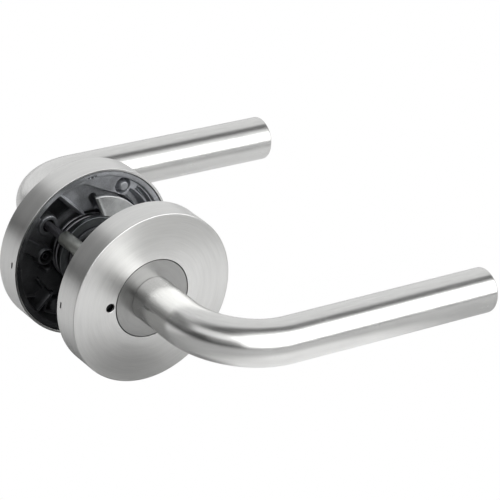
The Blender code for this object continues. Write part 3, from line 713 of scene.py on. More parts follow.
class Relief:
    """A height field over (x, z): the depth of a casting's surface below the door face."""

    def __init__(self, x, z, floor, slope, fillet):
        self.x = x
        self.z = z
        self.depth = np.full_like(x, floor)
        self.slope = slope
        self.fillet = fillet

    def wall(self, distance):
        """Depth gained at a distance outside a shape: slope * k * log(1 + exp(distance / k)), which
        is level inside and falls along the wall outside, with a rounded edge between."""
        edge = 0.12 * MM
        ratio = np.clip(distance / edge, -40.0, 40.0)
        return self.slope * edge * np.log1p(np.exp(ratio))

    def raise_to(self, top, distance):
        """Smooth minimum of the surface and a raised shape: the lesser depth, less h^2 k / 4 where
        the two are nearer than the fillet k and h is 1 - |a - b| / k."""
        shape = top + self.wall(distance)
        near = np.clip(1.0 - np.abs(self.depth - shape) / self.fillet, 0.0, 1.0)
        self.depth = np.minimum(self.depth, shape) - near**2 * self.fillet / 4

    def sink_to(self, floor, distance):
        """The greater depth of the surface and a pocket."""
        shape = floor - self.wall(distance)
        self.depth = np.maximum(self.depth, shape)

    def disc(self, reach, degrees, radius):
        x, z = polar(reach, degrees)
        return np.hypot(self.x - x, self.z - z) - radius

    def bar(self, start, end, width):
        """Distance outside a bar with round ends between two points (x, z)."""
        ax, az = start
        bx, bz = end
        dx, dz = bx - ax, bz - az
        share = ((self.x - ax) * dx + (self.z - az) * dz) / (dx * dx + dz * dz)
        share = np.clip(share, 0.0, 1.0)
        return np.hypot(self.x - ax - share * dx, self.z - az - share * dz) - width / 2

    def ray(self, degrees, inner, outer, width):
        """The bar between two radii at a clock angle in degrees."""
        return self.bar(polar(inner, degrees), polar(outer, degrees), width)

    def half_plane(self, start, end):
        """Distance below and left of the line through two points (x, z)."""
        ax, az = start
        dx, dz = end[0] - ax, end[1] - az
        return -((self.z - az) * dx - (self.x - ax) * dz) / math.hypot(dx, dz)

    def arc(self, inner, outer, start, end):
        """Distance outside a ring sector between two radii and two clock angles in degrees."""
        reach = np.hypot(self.x, self.z)
        middle = math.radians((start + end) / 2)
        half = math.radians((end - start) / 2)
        turn = np.angle(np.exp(1j * (np.arctan2(self.z, self.x) - middle)))
        across = np.maximum(inner - reach, reach - outer)
        along = (np.abs(turn) - half) * reach
        return np.maximum(across, along)


def casting_depth(side, x, z, casting):
    """Depth of the chassis surface that faces the door, for points between the hub and the ring."""
    floor = CHASSIS_TOP - 2.0 * MM
    relief = Relief(x, z, floor, casting.draft, casting.fillet)
    ring = CHASSIS_RADIUS - 2.0 * MM
    lip = CHASSIS_LOW

    # Ring with a stepped shoulder, and the hub tube, whose wall is steeper to clear the coil
    hub = 5.0 * (np.hypot(x, z) - HUB_RADIUS)
    relief.raise_to(lip, relief.arc(ring, 2 * CHASSIS_RADIUS, -180.0, 180.0))
    relief.raise_to(HUB_END, hub)
    relief.raise_to(2.4 * MM, relief.arc(ring - 1.1 * MM, CHASSIS_RADIUS, -75.0, 118.0))

    # Deep pocket beside the shelf
    step_outer = (-14.0 * MM, 24.4 * MM)
    step = relief.half_plane(step_outer, (-0.6 * MM, 12.2 * MM))
    pocket = np.maximum(0.8 * MM - step, relief.arc(16.2 * MM, 25.5 * MM, 108.0, 143.0))
    relief.sink_to(9.1 * MM, pocket)

    # Bosses for the bolts, the keeper screws and the release pin
    for degrees in BOLT_ANGLES.values():
        relief.raise_to(6.4 * MM, relief.disc(BOLT_REACH, degrees, 4.0 * MM))
    for degrees in SCREW_ANGLES:
        relief.raise_to(0.7 * MM, relief.disc(SCREW_REACH, degrees, 2.45 * MM))
    relief.raise_to(3.6 * MM, relief.disc(RELEASE_REACH, 180.0, 3.3 * MM))
    relief.raise_to(4.6 * MM, relief.bar(polar(19.5 * MM, 175.0), polar(29.0 * MM, 165.0), 5.0 * MM))

    # Shelf over the top, which ends in a straight step, with its raised edges and its pocket
    shelf = np.maximum(step, relief.arc(14.9 * MM, 31.0 * MM, 58.0, 127.0))
    relief.raise_to(4.2 * MM, shelf)
    relief.raise_to(2.5 * MM, relief.bar(step_outer, (-3.2 * MM, 14.6 * MM), 0.9 * MM))
    relief.sink_to(8.2 * MM, relief.bar((0.7 * MM, 20.4 * MM), (4.4 * MM, 14.4 * MM), 2.0 * MM))
    crest = (-5.0 * MM, 27.5 * MM)
    rise = relief.half_plane((-14.4 * MM, 25.1 * MM), crest)
    fall = relief.half_plane(crest, (9.0 * MM, 21.3 * MM))
    edge = np.maximum(np.minimum(rise, fall), relief.arc(20.0 * MM, 31.5 * MM, 60.0, 124.0))
    relief.raise_to(1.4 * MM, edge)

    # Peg, and the land beyond it with its long slots
    relief.raise_to(1.5 * MM, relief.arc(23.2 * MM, 30.5 * MM, -70.0, 61.0))
    relief.sink_to(4.4 * MM, relief.disc(PEG_REACH, PEG_ANGLE, PEG_RADIUS + 0.9 * MM))
    relief.raise_to(lip, relief.disc(PEG_REACH, PEG_ANGLE, PEG_RADIUS))
    relief.sink_to(6.6 * MM, relief.arc(24.0 * MM, 26.2 * MM, -60.0, 54.0))
    relief.sink_to(4.0 * MM, relief.arc(27.9 * MM, 28.7 * MM, -66.0, 50.0))

    # Ribs
    for degrees in (225.0, 290.0):
        relief.raise_to(2.0 * MM, relief.ray(degrees, 22.0 * MM, 30.0 * MM, 1.5 * MM))
    relief.raise_to(6.3 * MM, relief.bar((-18.5 * MM, -10.6 * MM), (-14.4 * MM, -16.6 * MM), 1.2 * MM))
    relief.raise_to(6.5 * MM, relief.bar((-22.8 * MM, -17.0 * MM), (-13.4 * MM, -17.6 * MM), 1.1 * MM))
    relief.raise_to(6.2 * MM, relief.bar((-12.0 * MM, -17.5 * MM), (-15.5 * MM, -24.0 * MM), 1.3 * MM))
    relief.raise_to(4.6 * MM, relief.disc(24.5 * MM, 243.0, 2.6 * MM))
    relief.raise_to(4.0 * MM, relief.disc(25.6 * MM, 268.0, 2.2 * MM))

    # Spring lug and the lever stop
    lug = FINGER_WIDTH - 1.2 * MM
    relief.raise_to(HUB_END, relief.ray(TAB_ANGLE, 20.2 * MM, 20.6 * MM, lug))
    relief.raise_to(3.0 * MM, relief.ray(198.0, 16.6 * MM, 17.6 * MM, 1.5 * MM))

    # Channel behind the ring, ejector marks, clip notch
    relief.sink_to(floor + 0.5 * MM, relief.arc(26.4 * MM, 28.6 * MM, 126.0, 153.0))
    for number in range(3):
        relief.sink_to(2.2 * MM, relief.disc(30.3 * MM, 92.0 + 2.6 * number, 0.35 * MM))
    notch = relief.arc(26.0 * MM, 2 * CHASSIS_RADIUS, CLIP_ANGLE - 2.1, CLIP_ANGLE + 2.1)
    relief.sink_to(2.6 * MM, notch)

    # Holes, which stop just above the cover; the bolts' seats are drilled behind them later
    bottom = CHASSIS_TOP - GAP
    for degrees in BOLT_ANGLES.values():
        hole = POST_BORE if side is INNER else POST_RADIUS + GAP
        relief.sink_to(bottom, relief.disc(BOLT_REACH, degrees, hole))
    relief.sink_to(bottom, relief.disc(RELEASE_REACH, 180.0, BUTTON_RADIUS + GAP))
    for degrees in SCREW_ANGLES:
        relief.sink_to(6.9 * MM, relief.disc(SCREW_REACH, degrees, SCREW_RADIUS + GAP))
    return np.minimum(relief.depth, bottom)


def casting_grid(side, casting, rows=112, columns=640):
    """The chassis as a closed grid: the relief from hub to ring, then over the back and down the
    bearing bore. One attribute holds how far each point stands above its surroundings, for edges
    rubbed lighter, with a painted highlight that is strongest on the lit upper right. The other
    holds painted light and shade: lighter towards the upper right, darker towards the lower left,
    in the deep pocket, round the hub and on the back."""
    t = once_round(columns)
    reach = np.linspace(HUB_BORE, CHASSIS_RADIUS, rows)[:, None]
    x = reach * np.cos(t)
    z = reach * np.sin(t)
    depth = casting_depth(side, x, z, casting)
    blurred = depth.copy()
    for _ in range(6):
        padded = np.pad(blurred, ((1, 1), (0, 0)), mode="edge")
        blurred = (padded[:-2] + padded[2:] + np.roll(blurred, 1, 1) + np.roll(blurred, -1, 1)) / 4
    wear_and_highlight = np.clip((blurred - depth) / (0.5 * MM), 0.0, 1.0)
    # Painted light: lighter towards the upper right, where the light falls, darker towards the lower
    # left.
    bright = smooth((0.5 * x + 0.85 * z) / MM, -10.0, 18.0)
    # Painted shade in the deep pocket.
    deep = smooth(depth / MM, 7.8, 8.8)
    # The rubbed edges carry a painted highlight, strongest on the lit upper right.
    wear_and_highlight *= 0.3 + 0.7 * bright
    # Painted shade round the hub, where the drive cam sits over it.
    hub = smooth(np.hypot(x, z), 14.6 * MM, 13.2 * MM)
    skin = (0.10 + 0.52 * bright) * (1.0 - 0.85 * deep) * (1.0 - 0.6 * hub)
    recess = DISC_RADIUS + 2 * GAP
    back = outline(
        [
            (CHASSIS_RADIUS, CHASSIS_TOP, 0.3 * MM),
            (recess, CHASSIS_TOP, 0.2 * MM),
            (recess, HUB_TOP, 0.0),
            (HUB_BORE, HUB_TOP, 0.2 * MM),
        ],
        closed=False,
        steps=4,
    )
    radii = np.concatenate([reach, back[:, :1]])
    depths = np.concatenate([depth, back[:, 1:2] + 0 * t])
    wear_and_highlight = np.concatenate([wear_and_highlight, np.zeros((len(back), columns))])
    # Painted shade on the back and down the bore.
    skin = np.concatenate([skin, np.full((len(back), columns), 0.1)])
    return placed(side, radii, t, depths), {"wear_and_highlight": wear_and_highlight, "skin": skin}


# ---------------------------------------------------------------- operators


def lever_path(side, settings, start, end, bend_steps=72, grip_steps=40):
    """Centre line of a lever: straight out of the rose, a quarter circle, and straight to the tip."""
    bend = settings.bend
    centre = PROJECTION - bend
    neck = np.linspace(start, centre, 8, endpoint=False)
    turn = np.linspace(0.0, math.pi / 2, bend_steps)
    grip = np.linspace(bend, end, grip_steps)[1:]
    x = np.concatenate([0 * neck, bend * (1 - np.cos(turn)), grip])
    depth = np.concatenate([neck, centre + bend * np.sin(turn), 0 * grip + PROJECTION])
    return np.stack([x, side.y(depth), 0 * x], axis=1)


class LEVER_OT_tubes(Operator):
    """Make the two bent lever tubes with their walls"""

    bl_idname = "lever.tubes"
    bl_label = "Lever tubes"

    def execute(self, context):
        settings = context.scene.lever_tube
        wall = 1.5 * MM
        seam = 0.12 * MM
        for side in SIDES:
            path = lever_path(side, settings, ROSE_DEPTH + 0.02 * MM, TUBE_END)
            first = path[1] - path[0]
            path = np.insert(path, 1, path[0] + first * seam / np.linalg.norm(first), axis=0)
            radius = np.full(len(path), TUBE_RADIUS)
            radius[0] -= 2 * seam
            outside = swept(path, radius, UP, settings.sides)
            inside = swept(path, TUBE_RADIUS - wall, UP, settings.sides)[::-3]
            tube = shell(side.name + "_lever_tube", np.concatenate([outside, inside]))
            show(tube, tube_steel(), side.train, "satin_steel", side.name + "_lever")
        return {"FINISHED"}


class LEVER_OT_tips(Operator):
    """Make the plugs that close the lever tubes, each with a rounded rim"""

    bl_idname = "lever.tips"
    bl_label = "Lever tips"

    def execute(self, context):
        settings = context.scene.lever_tube
        start = TUBE_END + 0.015 * MM
        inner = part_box("outer_lever_cap")[0].x
        profile = outline(
            [
                (SPIGOT_RADIUS - 0.3 * MM, inner, 0.0),
                (SPIGOT_RADIUS, inner + 0.3 * MM, 0.1 * MM),
                (SPIGOT_RADIUS, start, 0.0),
                (TUBE_RADIUS, start, 0.0),
                (TUBE_RADIUS, LEVER_TIP, settings.tip),
                (0.2 * MM, LEVER_TIP, 0.0),
            ],
            closed=False,
            steps=9,
        )
        t = once_round(settings.sides)
        for side in SIDES:
            x = profile[:, 1:2] + 0 * t
            y = side.y(PROJECTION) + profile[:, :1] * np.cos(t)
            z = profile[:, :1] * np.sin(t)
            cap = shell(side.name + "_lever_tip", np.stack([x, y, z], axis=-1), closed=False)
            show(cap, tube_steel(), side.train, "satin_steel", side.name + "_lever_cap")
        return {"FINISHED"}


class LEVER_OT_discs(Operator):
    """Make the discs flush in the roses, with the journals and the square sockets behind them"""

    bl_idname = "lever.discs"
    bl_label = "Lever discs"

    def execute(self, context):
        under = ROSE_DEPTH - DISC_THICKNESS
        groove_low, groove_high = SNAP_GROOVE
        groove = JOURNAL_RADIUS - 0.9 * MM
        socket_size = (-4.3 * MM, 4.3 * MM)
        socket_top = 8.8 * MM
        flat = 8.0 * MM
        flat_top = 1.05 * MM
        far = 2 * JOURNAL_RADIUS
        below = JOURNAL_END - 2 * MM
        for side in SIDES:
            profile = outline(
                [
                    (SPIGOT_RADIUS - 0.4 * MM, ROSE_DEPTH + 3.0 * MM, 0.0),
                    (SPIGOT_RADIUS, ROSE_DEPTH + 2.6 * MM, 0.1 * MM),
                    (SPIGOT_RADIUS, ROSE_DEPTH, 0.0),
                    (DISC_RADIUS, ROSE_DEPTH, 0.16 * MM),
                    (DISC_RADIUS, under, 0.1 * MM),
                    (JOURNAL_RADIUS, under, 0.0),
                    (JOURNAL_RADIUS, groove_high, 0.1 * MM),
                    (groove, groove_high, 0.0),
                    (groove, groove_low, 0.0),
                    (JOURNAL_RADIUS, groove_low, 0.1 * MM),
                    (JOURNAL_RADIUS, JOURNAL_END, 0.3 * MM),
                    (JOURNAL_RADIUS - 1.5 * MM, JOURNAL_END, 0.0),
                ],
                closed=False,
            )
            disc = shell(side.name + "_lever_disc", turned(side, profile), closed=False)
            tools = [block("socket", side, socket_size, socket_size, (below, socket_top))]
            for z_range in ((flat, far), (-far, -flat)):
                tools.append(block("flat", side, (-far, far), z_range, (below, flat_top)))
            cut(disc, tools)
            show(disc, shaded_disc_steel(), side.train, "satin_steel", side.name + "_lever_flange")
        return {"FINISHED"}


class LEVER_OT_covers(Operator):
    """Make the two rose covers as sheet cups, with the release or button hole and the clip slot"""

    bl_idname = "lever.covers"
    bl_label = "Rose covers"

    def execute(self, context):
        settings = context.scene.lever_rose
        bore = DISC_RADIUS + settings.seam
        under = ROSE_DEPTH - SHEET
        inside = ROSE_RADIUS - SHEET
        bevel = 0.16 * MM
        slot_length = (-1.2 * MM, 1.2 * MM)
        slot_depths = (1.9 * MM, 2.7 * MM)
        for side in SIDES:
            profile = outline(
                [
                    (bore, ROSE_DEPTH, 0.14 * MM),
                    (ROSE_RADIUS, ROSE_DEPTH, settings.edge),
                    (ROSE_RADIUS, 0.0, 0.16 * MM),
                    (inside, 0.0, 0.2 * MM),
                    (inside, under, 0.2 * MM),
                    (bore, under, 0.0),
                ],
                steps=6,
            )
            cover = shell(side.name + "_rose_skin", turned(side, profile, 256))
            hole = RELEASE_RADIUS if side is OUTER else BUTTON_RADIUS + GAP
            drill = np.array(
                [
                    (hole, under - MM),
                    (hole, ROSE_DEPTH - 0.12 * MM),
                    (hole + bevel, ROSE_DEPTH + 0.04 * MM),
                    (hole + bevel, ROSE_DEPTH + MM),
                ]
            )
            drilled = turned(side, drill, 48, polar(RELEASE_REACH, 180.0))
            through = (ROSE_RADIUS - 2 * SHEET, ROSE_RADIUS + SHEET)
            slot = block("clip_slot", side, through, slot_length, slot_depths, CLIP_ANGLE)
            cut(cover, [shell("drill", drilled, closed=False), slot])
            show(cover, turned_steel(), "roses", "satin_steel", side.name + "_rose_cover")
        return {"FINISHED"}


class LEVER_OT_castings(Operator):
    """Make the two zinc castings as relief surfaces, drilled for the release pin and the bolts"""

    bl_idname = "lever.castings"
    bl_label = "Castings"

    def drill(self, side, profile, reach, degrees):
        return shell("drill", turned(side, np.array(profile), 64, polar(reach, degrees)), closed=False)

    def execute(self, context):
        for side in SIDES:
            points, values = casting_grid(side, context.scene.lever_casting)
            casting = shell(side.name + "_casting", points, sharp=60.0, attributes=values)
            bore = RELEASE_RADIUS + 0.05 * MM
            # The wide end takes the button's collar, and is only a slight step in the outer half
            wide = COLLAR_RADIUS + GAP if side is INNER else bore + 0.1 * MM
            step = COLLAR_LOW - BUTTON_TRAVEL - GAP
            release = [(bore, MM), (bore, step), (wide, step), (wide, ROSE_DEPTH)]
            seat_radius = side.bolt_head + GAP
            seat = [(seat_radius, BOLT_HEAD_LOW - GAP), (seat_radius, ROSE_DEPTH)]
            drills = [self.drill(side, release, RELEASE_REACH, 180.0)]
            for degrees in BOLT_ANGLES.values():
                drills.append(self.drill(side, seat, BOLT_REACH, degrees))
            cut(casting, [joined(drills)])
            show(casting, cast_zinc(), "roses", "cast_zinc", side.name + "_chassis")
        return {"FINISHED"}


class LEVER_OT_keepers(Operator):
    """Make the half plates over the springs and the cross-head screws that hold them"""

    bl_idname = "lever.keepers"
    bl_label = "Spring keepers"

    def keeper(self, side):
        """A ring sector whose end slants: radius and depth run round a rounded rectangle, and the
        angle runs from a straight start to an end that grows with the radius and has a rounded
        corner. A bead stands up along that end."""
        low, high = KEEPER_DEPTHS
        soft = 0.42 * MM
        section = outline(
            [
                (KEEPER_BORE, low, soft),
                (KEEPER_RADIUS, low, soft),
                (KEEPER_RADIUS, high, 0.1 * MM),
                (KEEPER_BORE, high, 0.1 * MM),
            ],
            steps=6,
        )
        radius = section[:, 0][None, :]
        across = (radius - KEEPER_BORE) / (KEEPER_RADIUS - KEEPER_BORE)
        corner = np.clip((across - 0.72) / 0.28, 0.0, 1.0)
        end_at_bore = 79.0
        slant = 18.0
        end = np.radians(end_at_bore + slant * across - 5.0 * corner**2)
        share = 1.0 - np.linspace(1.0, 0.0, 150)[:, None] ** 1.6
        turn = KEEPER_START + share * (end - KEEPER_START)
        crown = 0.12 * MM * np.sin(math.pi * (radius - KEEPER_BORE) / (KEEPER_RADIUS - KEEPER_BORE))
        from_bead = (end - turn) * radius - 0.7 * MM
        bead = 0.3 * MM * np.exp(-((from_bead / (0.5 * MM)) ** 2))
        lift = np.where(section[:, 1] < (low + high) / 2, crown - bead, 0.0)
        depth = section[:, 1][None, :] + lift
        points = placed(side, radius, turn, depth)
        keeper = shell(side.name + "_keeper_plate", points, closed=False)
        holes = [(BOLT_REACH, BOLT_ANGLES["lower"], POST_RADIUS + GAP)]
        holes += [(SCREW_REACH, degrees, SCREW_RADIUS + GAP) for degrees in SCREW_ANGLES]
        tools = []
        for reach, degrees, size in holes:
            drill = np.array([(size, low - MM), (size, high + MM)])
            tools.append(shell("drill", turned(side, drill, 40, polar(reach, degrees)), closed=False))
        cut(keeper, tools)
        return keeper

    def screw(self, side, number, degrees):
        """A pan head about the screw's own axis: the depth of the head at radius r and angle t is a
        dome, sunk by a four-armed recess where the lesser of |x| and |z| is under half its width."""
        low, _ = KEEPER_DEPTHS
        under = low - GAP
        head = 2.25 * MM
        arm_width = 0.44 * MM
        arm_reach = 1.3 * MM
        recess = 0.55 * MM
        t = once_round(96)
        radius = np.linspace(0.02 * MM, head, 26)[:, None]
        dome = under - 1.0 * MM * np.sqrt(np.clip(1.0 - (radius / head) ** 4, 0.0, 1.0))
        x = radius * np.cos(t)
        z = radius * np.sin(t)
        arm = np.minimum(np.abs(x), np.abs(z)) - arm_width / 2
        inside = np.clip(-arm / (0.08 * MM), 0.0, 1.0)
        inside *= np.clip((arm_reach - radius) / (0.2 * MM), 0.0, 1.0)
        depth = dome + recess * inside
        shank = np.array([(head, under), (SCREW_RADIUS, under), (SCREW_RADIUS, 6.5 * MM)])
        radii = np.concatenate([radius, shank[:, :1]])
        depths = np.concatenate([depth, shank[:, 1:] + 0 * t])
        points = placed(side, radii, t, depths, polar(SCREW_REACH, degrees))
        return shell("%s_keeper_screw_head_%d" % (side.name, number), points, closed=False)

    def execute(self, context):
        for side in SIDES:
            show(self.keeper(side), zinc_plate(), "roses", "zinc_plate", side.name + "_spring_keeper")
            for number, degrees in enumerate(SCREW_ANGLES, start=1):
                node = "%s_keeper_screw_%d" % (side.name, number)
                show(self.screw(side, number, degrees), bright_zinc(), "roses", "bright_zinc", node)
        return {"FINISHED"}


class LEVER_OT_bearings(Operator):
    """Make the bushes, thrust washers, snap rings and drive cams round the journals"""

    bl_idname = "lever.bearings"
    bl_label = "Bearings and cams"

    def ring(self, side, name, inner, outer, low, high, soft):
        return shell(side.name + name, turned(side, rounded_box((inner, outer), (low, high), soft)))

    def snap_ring(self, side):
        """An open ring: a rounded rectangle in radius and depth, carried round all but the opening."""
        section = rounded_box((8.4 * MM, 10.8 * MM), SNAP_DEPTHS, 0.12 * MM)
        opening = math.radians(22.0)
        start = math.radians(TAB_ANGLE) + opening / 2
        turn = np.linspace(start, start + 2 * math.pi - opening, 120)[:, None]
        points = placed(side, section[:, 0], turn, section[:, 1])
        return shell(side.name + "_snap_ring", points, closed=False)

    def cam(self, side):
        """The round plate, and the finger and tab that reach out between the spring's legs."""
        low = SNAP_DEPTHS[1] + GAP
        high = low + 1.5 * MM
        corners = [
            (JOURNAL_RADIUS + GAP, low, 0.1 * MM),
            (CAM_RADIUS, low, 0.3 * MM),
            (CAM_RADIUS, high, 0.1 * MM),
            (JOURNAL_RADIUS + GAP, high, 0.1 * MM),
        ]
        plate = shell(side.name + "_cam_plate", turned(side, outline(corners, steps=5)))
        parts = [plate]
        for name, inset, reach, depths in (
            ("finger", 0.0, (13.4 * MM, 18.3 * MM), (0.72 * MM, 1.78 * MM)),
            ("tab", 0.2 * MM, (15.7 * MM, 18.1 * MM), (1.0 * MM, 6.6 * MM)),
        ):
            half = FINGER_WIDTH / 2 - inset
            parts.append(block(name, side, reach, (-half, half), depths, TAB_ANGLE))
        return joined(parts)

    def execute(self, context):
        inner = JOURNAL_RADIUS + GAP
        for side in SIDES:
            bush = self.ring(side, "_bush", inner, BUSH_RADIUS, HUB_END, HUB_TOP, 0.2 * MM)
            show(bush, acetal(), "roses", "acetal", side.name + "_bearing_bush")
            washer = self.ring(side, "_washer", inner, 11.5 * MM, 1.2 * MM, 1.8 * MM, 0.1 * MM)
            show(washer, spring_steel(), side.train, "spring_steel", side.name + "_thrust_washer")
            snap = self.snap_ring(side)
            show(snap, spring_steel(), side.train, "spring_steel", side.name + "_retaining_ring")
            show(self.cam(side), shaded_cam_zinc(), side.train, "bright_zinc", side.name + "_drive_cam")
        return {"FINISHED"}


class LEVER_OT_springs(Operator):
    """Make the torsion springs as round wire, with their legs on either side of the cam's tab"""

    bl_idname = "lever.springs"
    bl_label = "Return springs"

    def execute(self, context):
        lift = WIRE_RADIUS
        low = -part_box("outer_return_spring")[1].y - DOOR_HALF + lift
        high = -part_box("outer_return_spring")[0].y - DOOR_HALF - lift
        offset = FINGER_WIDTH / 2 + GAP + WIRE_RADIUS
        bend = 1.5 * MM
        centre = COIL_RADIUS + bend
        swing = math.asin((offset + bend) / centre)
        foot = math.cos(swing) * centre
        leg_end = 21.3 * MM
        turns = 2
        for side in SIDES:
            quarter = np.linspace(math.pi / 2, 0.0, 10)
            x_bend = foot - bend * np.sin(quarter)
            z_bend = offset + bend - bend * np.cos(quarter)
            x_leg = np.linspace(foot, leg_end, 12)[1:]
            sweep = np.linspace(swing, turns * 2 * math.pi - swing, 180)
            x_coil = COIL_RADIUS * np.cos(sweep)[1:-1]
            z_coil = COIL_RADIUS * np.sin(sweep)[1:-1]
            z_leg = 0 * x_leg + offset
            x = np.concatenate([x_leg[::-1], x_bend[::-1], x_coil, x_bend, x_leg])
            z = np.concatenate([z_leg, z_bend[::-1], z_coil, -z_bend, -z_leg])
            rise = np.linspace(low, high, len(sweep))[1:-1]
            flat = np.zeros(len(x_leg) + len(x_bend))
            depth = np.concatenate([flat + low, rise, flat + high])
            turn = math.radians(TAB_ANGLE)
            world_x = x * math.cos(turn) - z * math.sin(turn)
            world_z = x * math.sin(turn) + z * math.cos(turn)
            path = np.stack([world_x, side.y(depth), world_z], axis=1)
            wire = shell(side.name + "_spring_wire", swept(path, WIRE_RADIUS, THROUGH, 20), closed=False)
            show(wire, spring_steel(), "roses", "spring_steel", side.name + "_return_spring")
        return {"FINISHED"}


class LEVER_OT_spindle(Operator):
    """Make the square spindle with softened edges and chamfered ends"""

    bl_idname = "lever.spindle"
    bl_label = "Spindle"

    def execute(self, context):
        low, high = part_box("spindle")
        half = high.z
        section = rounded_box((-half, half), (-half, half), 0.35 * MM, 6)
        chamfer = 0.6 * MM
        narrow = 1.0 - chamfer / half
        y = np.array([low.y, low.y + chamfer, 0.0, high.y - chamfer, high.y])[:, None]
        size = np.array([narrow, 1.0, 1.0, 1.0, narrow])[:, None]
        points = np.stack([section[:, 0] * size, y + 0 * section[:, 0], section[:, 1] * size], axis=-1)
        bar = shell("spindle_bar", points, closed=False)
        show(bar, bright_zinc(), "outer_lever_train", "bright_zinc", "spindle")
        return {"FINISHED"}


class LEVER_OT_bolts(Operator):
    """Make the bolt posts of the outer half and the threaded bolts of the inner half"""

    bl_idname = "lever.bolts"
    bl_label = "Bolts and posts"

    def post(self, place, degrees):
        low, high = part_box("bolt_post_" + place)
        head_top = -low.y - DOOR_HALF
        head_low = head_top - HEAD_HEIGHT
        end = -high.y - DOOR_HALF
        head = OUTER.bolt_head
        bottom = end + 14.0 * MM
        profile = outline(
            [
                (head - 0.5 * MM, head_top, 0.0),
                (head, head_top - 0.4 * MM, 0.15 * MM),
                (head, head_low, 0.15 * MM),
                (POST_RADIUS, head_low, 0.1 * MM),
                (POST_RADIUS, end, 0.45 * MM),
                (POST_BORE, end, 0.15 * MM),
                (POST_BORE, bottom, 0.0),
                (0.1 * MM, bottom + MM / 2, 0.0),
            ],
            closed=False,
        )
        points = turned(OUTER, profile, 64, polar(BOLT_REACH, degrees))
        return shell("bolt_post_sleeve_" + place, points, closed=False)

    def bolt(self, place, degrees):
        """The shank's radius at depth d and turn t is R - a |2 frac(d / pitch - t / 2 pi) - 1|."""
        low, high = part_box("through_bolt_" + place)
        tip = low.y - DOOR_HALF
        top = high.y - DOOR_HALF
        head = INNER.bolt_head
        under = BOLT_HEAD_LOW
        pitch = 0.7 * MM
        t = once_round(48)
        count = int((under - tip) / pitch * 8)
        depth = np.linspace(tip + 0.4 * MM, under - 0.3 * MM, count)[:, None]
        wave = np.abs(2 * np.mod(depth / pitch - t / (2 * math.pi), 1.0) - 1)
        thread = BOLT_RADIUS - 0.28 * MM * wave
        start = np.array([(BOLT_RADIUS - 0.6 * MM, tip)])
        end = outline(
            [
                (BOLT_RADIUS - 0.1 * MM, under, 0.0),
                (head, under, 0.1 * MM),
                (head, top, 0.35 * MM),
                (head - 1.2 * MM, top, 0.0),
            ],
            closed=False,
        )
        radii = np.concatenate([start[:, :1] + 0 * t, thread, end[:, :1] + 0 * t])
        depths = np.concatenate([start[:, 1:], depth, end[:, 1:]])
        points = placed(INNER, radii, t, depths, polar(BOLT_REACH, degrees))
        return shell("bolt_shank_" + place, points, closed=False, sharp=70.0)

    def execute(self, context):
        for place, degrees in BOLT_ANGLES.items():
            show(self.post(place, degrees), bright_zinc(), "roses", "bright_zinc", "bolt_post_" + place)
            show(self.bolt(place, degrees), dark_bolt(), "roses", "cast_zinc", "through_bolt_" + place)
        return {"FINISHED"}


class LEVER_OT_button(Operator):
    """Make the privacy button with its collar, and the rubber ring that holds it in place"""

    bl_idname = "lever.button"
    bl_label = "Privacy button"

    def execute(self, context):
        low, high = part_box("privacy_button")
        top = high.y - DOOR_HALF
        end = low.y - DOOR_HALF
        ring_low, ring_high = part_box("button_friction_ring")
        middle = (ring_low.y + ring_high.y) / 2 - DOOR_HALF
        wire = (ring_high.y - ring_low.y) / 2
        reach = (ring_high.z - ring_low.z) / 2 - wire
        core = reach - wire - 0.1 * MM
        groove_top = middle + wire + 0.08 * MM
        groove_low = middle - wire - 0.08 * MM
        bore = 0.9 * MM
        profile = outline(
            [
                (0.3 * MM, top, 0.0),
                (BUTTON_RADIUS, top, 0.35 * MM),
                (BUTTON_RADIUS, COLLAR_TOP, 0.0),
                (COLLAR_RADIUS, COLLAR_TOP, 0.15 * MM),
                (COLLAR_RADIUS, COLLAR_LOW, 0.15 * MM),
                (BUTTON_RADIUS, COLLAR_LOW, 0.0),
                (BUTTON_RADIUS, groove_top, 0.05 * MM),
                (core, groove_top, 0.0),
                (core, groove_low, 0.0),
                (BUTTON_RADIUS, groove_low, 0.05 * MM),
                (BUTTON_RADIUS, end, 0.3 * MM),
                (bore, end, 0.1 * MM),
                (bore, end + 4.0 * MM, 0.0),
                (0.2 * MM, end + 4.3 * MM, 0.0),
            ],
            closed=False,
        )
        centre = polar(RELEASE_REACH, 180.0)
        pin = shell("privacy_pin", turned(INNER, profile, 72, centre), closed=False)
        show(pin, turned_steel(), "button", "satin_steel", "privacy_button")
        pin.data.materials.append(dark_bolt())
        centres = np.zeros(len(pin.data.polygons) * 3, np.float32)
        pin.data.polygons.foreach_get("center", centres)
        blackened = centres.reshape(-1, 3)[:, 1] - DOOR_HALF < end + 4.5 * MM
        pin.data.polygons.foreach_set("material_index", blackened.astype(np.int32))
        t = once_round(24)[0]
        circle = np.stack([reach + wire * np.cos(t), middle + wire * np.sin(t)], axis=1)
        ring = shell("friction_ring", turned(INNER, circle, 72, centre))
        show(ring, black_rubber(), "button", "black_rubber", "button_friction_ring")
        return {"FINISHED"}


